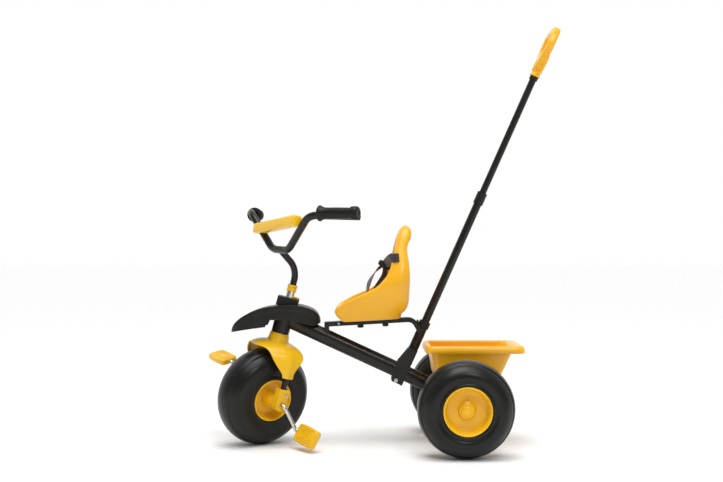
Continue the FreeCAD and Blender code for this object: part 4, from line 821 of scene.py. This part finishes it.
seat = seat_object("seat_moulding", outside)
sitter = seat_object("sitting_space", hollow)
scoop = seat.modifiers.new("scoop", "BOOLEAN")
scoop.operation = "DIFFERENCE"
scoop.solver = "EXACT"
scoop.object = sitter
grid = seat.modifiers.new("grid", "REMESH")
grid.mode = "VOXEL"
grid.voxel_size = SEAT_VOXEL * MM
ease = seat.modifiers.new("ease", "SMOOTH")
ease.factor = SEAT_EASE
ease.iterations = SEAT_RELAX
baked(seat, "seat", "yellow_blown", ("seat_shell",))
bpy.data.objects.remove(sitter)
print("seat shell:", len(seat.data.polygons), "faces")

# %% [markdown]
# ## Harness
# Two lap straps come out through the wings, wrap forward over their edges and meet a crotch strap at
# a buckle. Webbing bends only one way, so each strap is a flat section swept along a smooth line with
# its width held. A loose adjusting tail hangs below the buckle.

# %% Straps
STRAP_WIDTH = 22
STRAP_THICK = 2


def strap(name, points, across, replaces=(), width=STRAP_WIDTH):
    """Webbing along a smooth line; across(s) gives the way its width points."""
    section = rounded_box(width / 2, STRAP_THICK / 2, 0.8, 3)
    made = sweep(smooth_line(points, 10), section, across)
    return settle(name, made, SEAT, "seat", "webbing", replaces, sharp=60)


def wing_way(side):
    """The strap stands upright at the wing and lies back by the buckle."""
    return lambda s: Vector((0.3 + 0.15 * s, -side * 0.25 * s, 1 - 0.35 * s))


lap_nodes = {1: ("lap_straps",), -1: ()}
for side, name in ((1, "left"), (-1, "right")):
    points = [(22, side * 83, 154), (28, side * 86.5, 154.5), (35, side * 86, 154), (41, side * 79, 151),
              (46, side * 64, 147), (50, side * 44, 143), (54, side * 25, 139), (56, side * 15, 137)]
    strap(f"lap_strap_{name}", points, wing_way(side), replaces=lap_nodes[side])
CROTCH_WAY = [(60, 0, 136), (71, 0, 130), (86, 0, 115), (98, 0, 96), (105, 0, 74), (108, 0, 52),
              (110, 0, 30)]
strap("crotch_strap_webbing", CROTCH_WAY, lambda s: Vector((0.5 * math.cos(2 * math.pi * s), 1, 0.2)),
      replaces=("crotch_strap",))
TAIL_WAY = [(57, 14, 132), (57, 20, 121), (61, 23, 109), (70, 24, 96), (80, 24, 82), (84, 24, 74)]
strap("adjusting_tail", TAIL_WAY, lambda s: Vector((0.7, 0.7, 0.3)), width=18)
print("straps:", pieces_made[-4:])

# %% [markdown]
# The buckle is a moulded black block with a round button standing out of its middle. Both are short
# stacks of rounded rectangles that draw in towards their ends, so their edges are soft.

# %% Buckle
BUCKLE_AT = Vector((57, 0, 137))
BUCKLE_TILT = -32
buckle_place = turned_about(SEAT @ Matrix.Translation(BUCKLE_AT), BUCKLE_TILT, "Y")
shell = loft([[Vector((p.x * grow, p.y * grow, z)) for p in rounded_box(17, 21, 6, 4)]
              for z, grow in ((-7, 0.82), (-6, 0.94), (-3, 1.0), (3, 1.0), (6, 0.95), (7.5, 0.8))])
settle("buckle_body", shell, buckle_place, "seat", "black_moulding", ("harness_buckle",), sharp=60)
press = loft([[Vector((p.x * grow, p.y * grow, z)) for p in rounded_box(7.5, 7.5, 5, 5)]
              for z, grow in ((6.5, 1.0), (8.8, 1.0), (9.6, 0.85))])
settle("buckle_button", press, buckle_place, "seat", "black_moulding", sharp=60)
print("buckle:", pieces_made[-2:])

# %% [markdown]
# ## Tipper tray
# The tray behind the seat is a tapered tub with a broad rim that turns down all round. Rings of one
# rounded rectangle, stacked outside, over the rim and back down inside, make the whole skin as one
# loft, so the rim's rounding comes from the rings themselves.

# %% Sizes of the tray
tray_low, tray_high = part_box("tray")
rim_x = (tray_low.x + tray_high.x) / 2
tray_place = place((rim_x, 0, 0), FORWARD, UP)
rim_half_x = (tray_high.x - tray_low.x) / 2 / MM
rim_half_y = tray_high.y / MM
top_z = tray_high.z / MM
floor_z = tray_low.z / MM
TUB_BACK = 24
TUB_FRONT = 12
TUB_SIDE = 7
FOOT_BACK = 60
FOOT_FRONT = 24
FOOT_SIDE = 17
TRAY_WALL = 2.6
LIP_DROP = 18
print("tray rim", round(rim_half_x * 2), "by", round(rim_half_y * 2), "mm")

# %% Tray


def tray_ring(back, front, side, z, radius):
    """A ring set in from the rim by so much at the back, the front and the sides."""
    long = rim_half_x - (back + front) / 2
    shift = (back - front) / 2
    return [Vector((p.x + shift, p.y, z)) for p in rounded_box(long, rim_half_y - side, radius, 8)]


def wall_ring(depth, inset):
    """A ring of the tub at a depth below the rim, 0 to 1, thickened inwards by an inset."""
    back = TUB_BACK + (FOOT_BACK - TUB_BACK) * depth + inset
    front = TUB_FRONT + (FOOT_FRONT - TUB_FRONT) * depth + inset
    side = TUB_SIDE + (FOOT_SIDE - TUB_SIDE) * depth + inset
    return tray_ring(back, front, side, top_z - (top_z - floor_z) * depth, 20)


rows = [tray_ring(FOOT_BACK + 4, FOOT_FRONT + 4, FOOT_SIDE + 4, floor_z, 16),
        tray_ring(FOOT_BACK + 1, FOOT_FRONT + 1, FOOT_SIDE + 1, floor_z + 1.2, 18)]
rows += [wall_ring(depth, 0) for depth in (0.94, 0.7, 0.45, 0.25, 0.12, 0.055)]
rows += [tray_ring(TRAY_WALL, TRAY_WALL, TRAY_WALL, top_z - 2.6, 20),
         tray_ring(TRAY_WALL - 0.6, TRAY_WALL - 0.6, TRAY_WALL - 0.6, top_z - LIP_DROP + 1, 22),
         tray_ring(1.2, 1.2, 1.2, top_z - LIP_DROP, 22),
         tray_ring(0, 0, 0, top_z - LIP_DROP + 1, 22),
         tray_ring(0.5, 0.5, 0.5, top_z - 9, 22),
         tray_ring(1.6, 1.6, 1.6, top_z - 4.6, 22),
         tray_ring(3.6, 3.6, 3.6, top_z - 1.6, 21),
         tray_ring(6.4, 6.4, 6.4, top_z - 0.2, 20),
         tray_ring(TUB_BACK - 3, TUB_FRONT - 0.8, TUB_SIDE + 1.6, top_z, 20),
         tray_ring(TUB_BACK + 0.6, TUB_FRONT + 1.6, TUB_SIDE + 3, top_z - 1.6, 20)]
rows += [wall_ring(depth, TRAY_WALL) for depth in (0.08, 0.25, 0.5, 0.8, 0.9)]
rows += [tray_ring(FOOT_BACK + 6, FOOT_FRONT + 6, FOOT_SIDE + 6, floor_z + TRAY_WALL + 1, 15),
         tray_ring(FOOT_BACK + 12, FOOT_FRONT + 12, FOOT_SIDE + 12, floor_z + TRAY_WALL, 12)]
settle("tray_moulding", loft(rows), tray_place, "frame", "yellow_blown", ("tray",), sharp=60)
print("tray:", len(rows), "rings")

# %% [markdown]
# ## Handlebar grips
# The grips are soft rubber: a flared guard towards the bar, a slightly waisted barrel and a thick
# collar on the end. One turned profile makes both. Each starts where its node starts on the bar.

# %% Grips
GRIP_WAY = (32, 7)
GRIP_CORNER = Vector((26, 136, 87))
GRIP_OUTLINE = [(9.7, 0), (18.2, 0), (19.4, 1.2), (19.5, 3.4), (18.4, 5.2), (16.6, 8.4), (15.2, 12.5),
                (14.2, 17), (13.9, 24), (14.1, 45), (13.6, 70), (13.4, 80), (13.5, 83), (14.6, 84.6),
                (16.0, 85.8), (16.6, 88), (16.7, 96), (16.4, 99.6), (15.4, 102.4), (13.2, 104),
                (5.0, 104), (4.2, 103.2), (0, 103.2), (0, 100), (9.7, 98)]
for side, name in ((1, "left"), (-1, "right")):
    turn, lift = (math.radians(a) for a in GRIP_WAY)
    way = Vector((-math.sin(turn) * math.cos(lift), side * math.cos(turn) * math.cos(lift), math.sin(lift)))
    corner = Vector((GRIP_CORNER.x, side * GRIP_CORNER.y, GRIP_CORNER.z))
    reach = BAR.to_3x3() @ way
    reach.normalize()
    tube = frame["nodes"][f"grip_{name}"].data.vertices
    first = min((vertex.co - BAR @ corner).dot(reach) for vertex in tube)
    matrix = place(BAR @ corner + reach * first, FORWARD, reach)
    settle(f"grip_{name}_rubber", lathe(GRIP_OUTLINE, 64), matrix, "handlebar", "grip_rubber",
           [f"grip_{name}"], sharp=50)
print("grips made")

# %% [markdown]
# ## Handlebar pad
# The yellow pad is a box with generous corners, clipped across the two rising legs of the bar.
# Rounded rectangles stacked from end to end make it, drawn in at both ends.

# %% Handlebar pad
pad_low, pad_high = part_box("bar_pad")
PAD_SHARE = 0.68
LEG_FOOT = Vector((0, 37, 0))
pad_middle = LEG_FOOT.lerp(GRIP_CORNER, PAD_SHARE)
PAD_DEPTH = 26
PAD_HEIGHT = 27
PAD_FRONT_SHIFT = 7
PAD_CORNER = 7
PAD_TILT = 6
PAD_LAYERS = ((-1.0, 0.62), (-0.995, 0.78), (-0.98, 0.92), (-0.95, 0.985), (-0.9, 1.0), (-0.5, 1.0),
              (0.0, 1.0), (0.5, 1.0), (0.9, 1.0), (0.95, 0.985), (0.98, 0.92), (0.995, 0.78),
              (1.0, 0.62))
pad_rings = []
for along, grow in PAD_LAYERS:
    section = rounded_box(PAD_DEPTH / 2 * grow, PAD_HEIGHT / 2 * grow, PAD_CORNER * grow, 6)
    pad_rings.append([Vector((pad_middle.x + PAD_FRONT_SHIFT + p.x, along * pad_middle.y,
                              pad_middle.z + p.y)) for p in section])
pad_place = turned_about(BAR, PAD_TILT, "X", pad_middle * Vector((1, 0, 1)))
settle("handlebar_pad", loft(pad_rings), pad_place, "handlebar", "yellow_moulding", ("bar_pad",), sharp=60)
print("pad", round(pad_middle.y * 2), "mm long; its node's box is",
      round((pad_high - pad_low).length / MM), "mm corner to corner")

# %% [markdown]
# ## Pedals
# Each pedal is a thick rounded block with bulging sides, and on both treads three rounded-rectangle
# ribs, one inside the other, give grip. The block is a stack of outlines, a little smaller at both
# treads. The ribs are half-sunk rods swept round closed loops.

# %% Pedals
PEDAL_SPOTS = {"left": (1, -75), "right": (-1, -24)}
PEDAL_INNER = 124
PEDAL_LONG = 80
PEDAL_WIDE = 50
PEDAL_DEEP = 15
PEDAL_BULGE = 2.0
PEDAL_TREAD = PEDAL_DEEP / 2
PEDAL_LAYERS = ((-PEDAL_TREAD, 3.0), (-7, 1.6), (-5.8, 0.5), (-3, 0), (3, 0), (5.8, 0.5), (7, 1.6),
                (PEDAL_TREAD, 3.0))
RIB_INSETS = (6.5, 13, 19)
RIB_RADIUS = 1.8
RIB_SINK = 0.4


def pedal_outline(half_long, half_wide):
    """A rounded rectangle whose long sides bulge in the middle."""
    low = half_wide - PEDAL_BULGE
    high = half_wide + PEDAL_BULGE * 0.2
    corners = [(-half_long, -low), (0, -high), (half_long, -low), (half_long + 0.2, 0),
               (half_long, low), (0, high), (-half_long, low), (-half_long - 0.2, 0)]
    return soften(corners, 10, 6, closed=True)


for name, (side, angle) in PEDAL_SPOTS.items():
    spindle = Vector(joints[f"pedal_{name}_spin"]["pos_m"])
    inner = wheel_centre + wheel_axis * side * PEDAL_INNER * MM
    outward = wheel_axis * side
    centre = spindle + outward * ((inner - spindle).dot(outward) + PEDAL_LONG / 2 * MM)
    base = place(centre, steer_axis.cross(wheel_axis), outward)
    flat = turned_about(base, -side * angle)
    layers = []
    for height, shrink in PEDAL_LAYERS:
        outline = pedal_outline(PEDAL_LONG / 2 - shrink, PEDAL_WIDE / 2 - shrink)
        layers.append([Vector((p.y, height, p.x)) for p in outline])
    settle(f"pedal_{name}_block", loft(layers), flat, f"pedal_{name}", "yellow_moulding", [f"pedal_{name}"],
           sharp=60)
    for ring, inset in enumerate(RIB_INSETS):
        loop = rounded_box(PEDAL_LONG / 2 - inset, PEDAL_WIDE / 2 - inset * 0.92, 8 - ring * 2, 5)
        for face, face_name in ((1, "front"), (-1, "back")):
            path = [Vector((p.y, face * (PEDAL_TREAD - RIB_SINK), p.x)) for p in loop]
            rib = sweep(path, circle(RIB_RADIUS, 12), lambda s: LEFT, joined_up=True)
            settle(f"pedal_{name}_rib_{face_name}_{ring + 1}", rib, flat, f"pedal_{name}",
                   "yellow_moulding", sharp=80)
print("pedal pieces:", len([p for p in pieces_made if p.startswith("pedal")]))

# %% [markdown]
# ## Push handle
# The parent's handle is a D loop on a sleeve: thick enough to hold, springing from two shoulders. A
# rounded rectangle is swept round a closed path for the loop, the sleeve is turned, and a web that
# widens upwards joins the two.

# %% Push handle
HANDLE_FOOT = 831.8
handle_place = POLE @ Matrix.Translation(Vector((0, 0, HANDLE_FOOT)))
LOOP_LOW = 38
LOOP_HIGH = 120.8
LOOP_HALF = 58
corners = [(0, 0, LOOP_LOW), (0, 26, LOOP_LOW + 2), (0, LOOP_HALF, LOOP_LOW + 34),
           (0, LOOP_HALF - 6, LOOP_HIGH), (0, -LOOP_HALF + 6, LOOP_HIGH),
           (0, -LOOP_HALF, LOOP_LOW + 34), (0, -26, LOOP_LOW + 2)]
loop_path = soften(corners, 17, 8, closed=True)
loop = sweep(loop_path, rounded_box(9.8, 8.6, 6, 6), lambda s: FORWARD, joined_up=True)
settle("push_handle_loop", loop, handle_place, "push_upper", "yellow_blown", ("push_handle",), sharp=70)
SLEEVE_OUTLINE = [(9, 0), (13.2, 0), (13.5, 1), (13.5, 3.4), (12.4, 4.4), (11.8, 5), (11.8, 13),
                  (12.4, 14), (13.9, 14.8), (14.1, 20), (13.6, 30), (13.2, 38), (11, 44), (0, 46),
                  (0, 30), (9, 30)]
settle("push_handle_sleeve", lathe(SLEEVE_OUTLINE, 64), handle_place, "push_upper", "yellow_blown",
       sharp=45)
WEB_LAYERS = ((16, 13, 12, 0), (20, 17, 12.4, -0.4), (28, 26, 12.2, -0.9), (38, 37, 11.8, -1.0),
              (48, 46, 11.2, -0.9), (56, 49, 10.4, -0.4))
web = [[Vector((p.x + lean, p.y, z)) for p in rounded_box(depth, wide, 7, 5)]
       for z, wide, depth, lean in WEB_LAYERS]
settle("push_handle_web", loft(web), handle_place, "push_upper", "yellow_blown", sharp=60)
print("push handle:", pieces_made[-3:])

# %% [markdown]
# ## Stem collar
# The clamp collar holds the handlebar's stem in the steerer. It is turned, with a groove in its waist.

# %% Stem collar
COLLAR_OUTLINE = [(9.5, 277), (12.6, 277), (13, 277.6), (13, 281.4), (12.2, 282.4), (12.2, 288.6),
                  (13, 289.6), (13, 293.4), (12.6, 294), (9.5, 294)]
settle("stem_collar_moulding", lathe(COLLAR_OUTLINE, 64), FORK, "fork", "yellow_moulding",
       ("stem_collar",), sharp=45)
print("stem collar made")

# %% [markdown]
# ## Floor
# A pale matt floor, far wider than the view, so that its edge stays out of the way.

# %% Floor
FLOOR_SIZE = 60
FLOOR_GREY = 0.935
FLOOR_ROUGHNESS = 0.9
FLOOR_CORNERS = ((-1, -1), (1, -1), (1, 1), (-1, 1))
floor_mesh = bpy.data.meshes.new("floor")
floor_mesh.from_pydata([(x * FLOOR_SIZE / 2, y * FLOOR_SIZE / 2, 0) for x, y in FLOOR_CORNERS], [],
                       [(0, 1, 2, 3)])
floor = bpy.data.objects.new("floor", floor_mesh)
bpy.context.collection.objects.link(floor)
floor_look = bpy.data.materials.new("pale_floor")
floor_look.use_nodes = True
floor_shader = floor_look.node_tree.nodes["Principled BSDF"]
floor_shader.inputs["Base Color"].default_value = (FLOOR_GREY, FLOOR_GREY, FLOOR_GREY, 1)
floor_shader.inputs["Roughness"].default_value = FLOOR_ROUGHNESS
floor_mesh.materials.append(floor_look)
print("floor", FLOOR_SIZE, "m wide")

# %% [markdown]
# ## Light
# The sky is bright behind the tricycle and dim in front, so the black parts stay black. A broad sun
# from high up keeps the yellow clean and leaves the undersides deep. Two area lights, one overhead
# and a smaller key, draw the thin highlights on tubes and shoulders.

# %% Sky
SKY_FROM = -0.55
SKY_TO = 0.25
SKY_BEHIND = 1.0
SKY_IN_FRONT = 0.22
world = bpy.data.worlds.new("studio")
world.use_nodes = True
sky = world.node_tree
gaze = sky.nodes.new("ShaderNodeTexCoord")
split = sky.nodes.new("ShaderNodeSeparateXYZ")
sky.links.new(gaze.outputs["Generated"], split.inputs["Vector"])
shade = sky.nodes.new("ShaderNodeMapRange")
shade.inputs["From Min"].default_value = SKY_FROM
shade.inputs["From Max"].default_value = SKY_TO
shade.inputs["To Min"].default_value = SKY_BEHIND
shade.inputs["To Max"].default_value = SKY_IN_FRONT
sky.links.new(split.outputs["Y"], shade.inputs["Value"])
sky.links.new(shade.outputs["Result"], sky.nodes["Background"].inputs["Strength"])
sky.nodes["Background"].inputs["Color"].default_value = (1, 1, 1, 1)
bpy.context.scene.world = world
print("sky strength", SKY_IN_FRONT, "to", SKY_BEHIND)

# %% Lights
SUN_POWER = 1.7
SUN_WIDTH = 50
SUN_LEAN = -18


def soft_light(name, spot, target, size, power):
    """A square area light aimed at a point."""
    light = bpy.data.lights.new(name, "AREA")
    light.size = size
    light.energy = power
    lamp = bpy.data.objects.new(name, light)
    bpy.context.collection.objects.link(lamp)
    lamp.location = spot
    lamp.rotation_euler = (Vector(target) - Vector(spot)).to_track_quat("-Z", "Y").to_euler()


middle = (cad_box[0] + cad_box[1]) / 2
soft_light("overhead", (0.1, 0.5, 2.4), middle, 1.0, 14)
soft_light("key", (-0.9, 2.6, 2.2), middle, 0.5, 16)
sun = bpy.data.lights.new("ceiling", "SUN")
sun.energy = SUN_POWER
sun.angle = math.radians(SUN_WIDTH)
lamp = bpy.data.objects.new("ceiling", sun)
bpy.context.collection.objects.link(lamp)
lamp.rotation_euler = (math.radians(SUN_LEAN), 0, 0)
print("lights made")

# %% [markdown]
# ## Camera
# The camera stands level at the tricycle's left side, about half a metre up, looking along -Y.

# %% Camera
CAMERA_AT = (0.047415, 2.6686, 0.4984)
CAMERA_PITCH = 90.48
CAMERA_LENS = 51.67
CAMERA_FILM = 36
CAMERA_TURN = 180
camera = bpy.data.cameras.new("studio_camera")
camera.lens = CAMERA_LENS
camera.sensor_width = CAMERA_FILM
eye = bpy.data.objects.new("studio_camera", camera)
bpy.context.collection.objects.link(eye)
eye.location = CAMERA_AT
eye.rotation_euler = (math.radians(CAMERA_PITCH), 0, math.radians(CAMERA_TURN))
bpy.context.scene.camera = eye
bpy.context.scene.view_settings.view_transform = "Standard"
print("camera", CAMERA_AT)
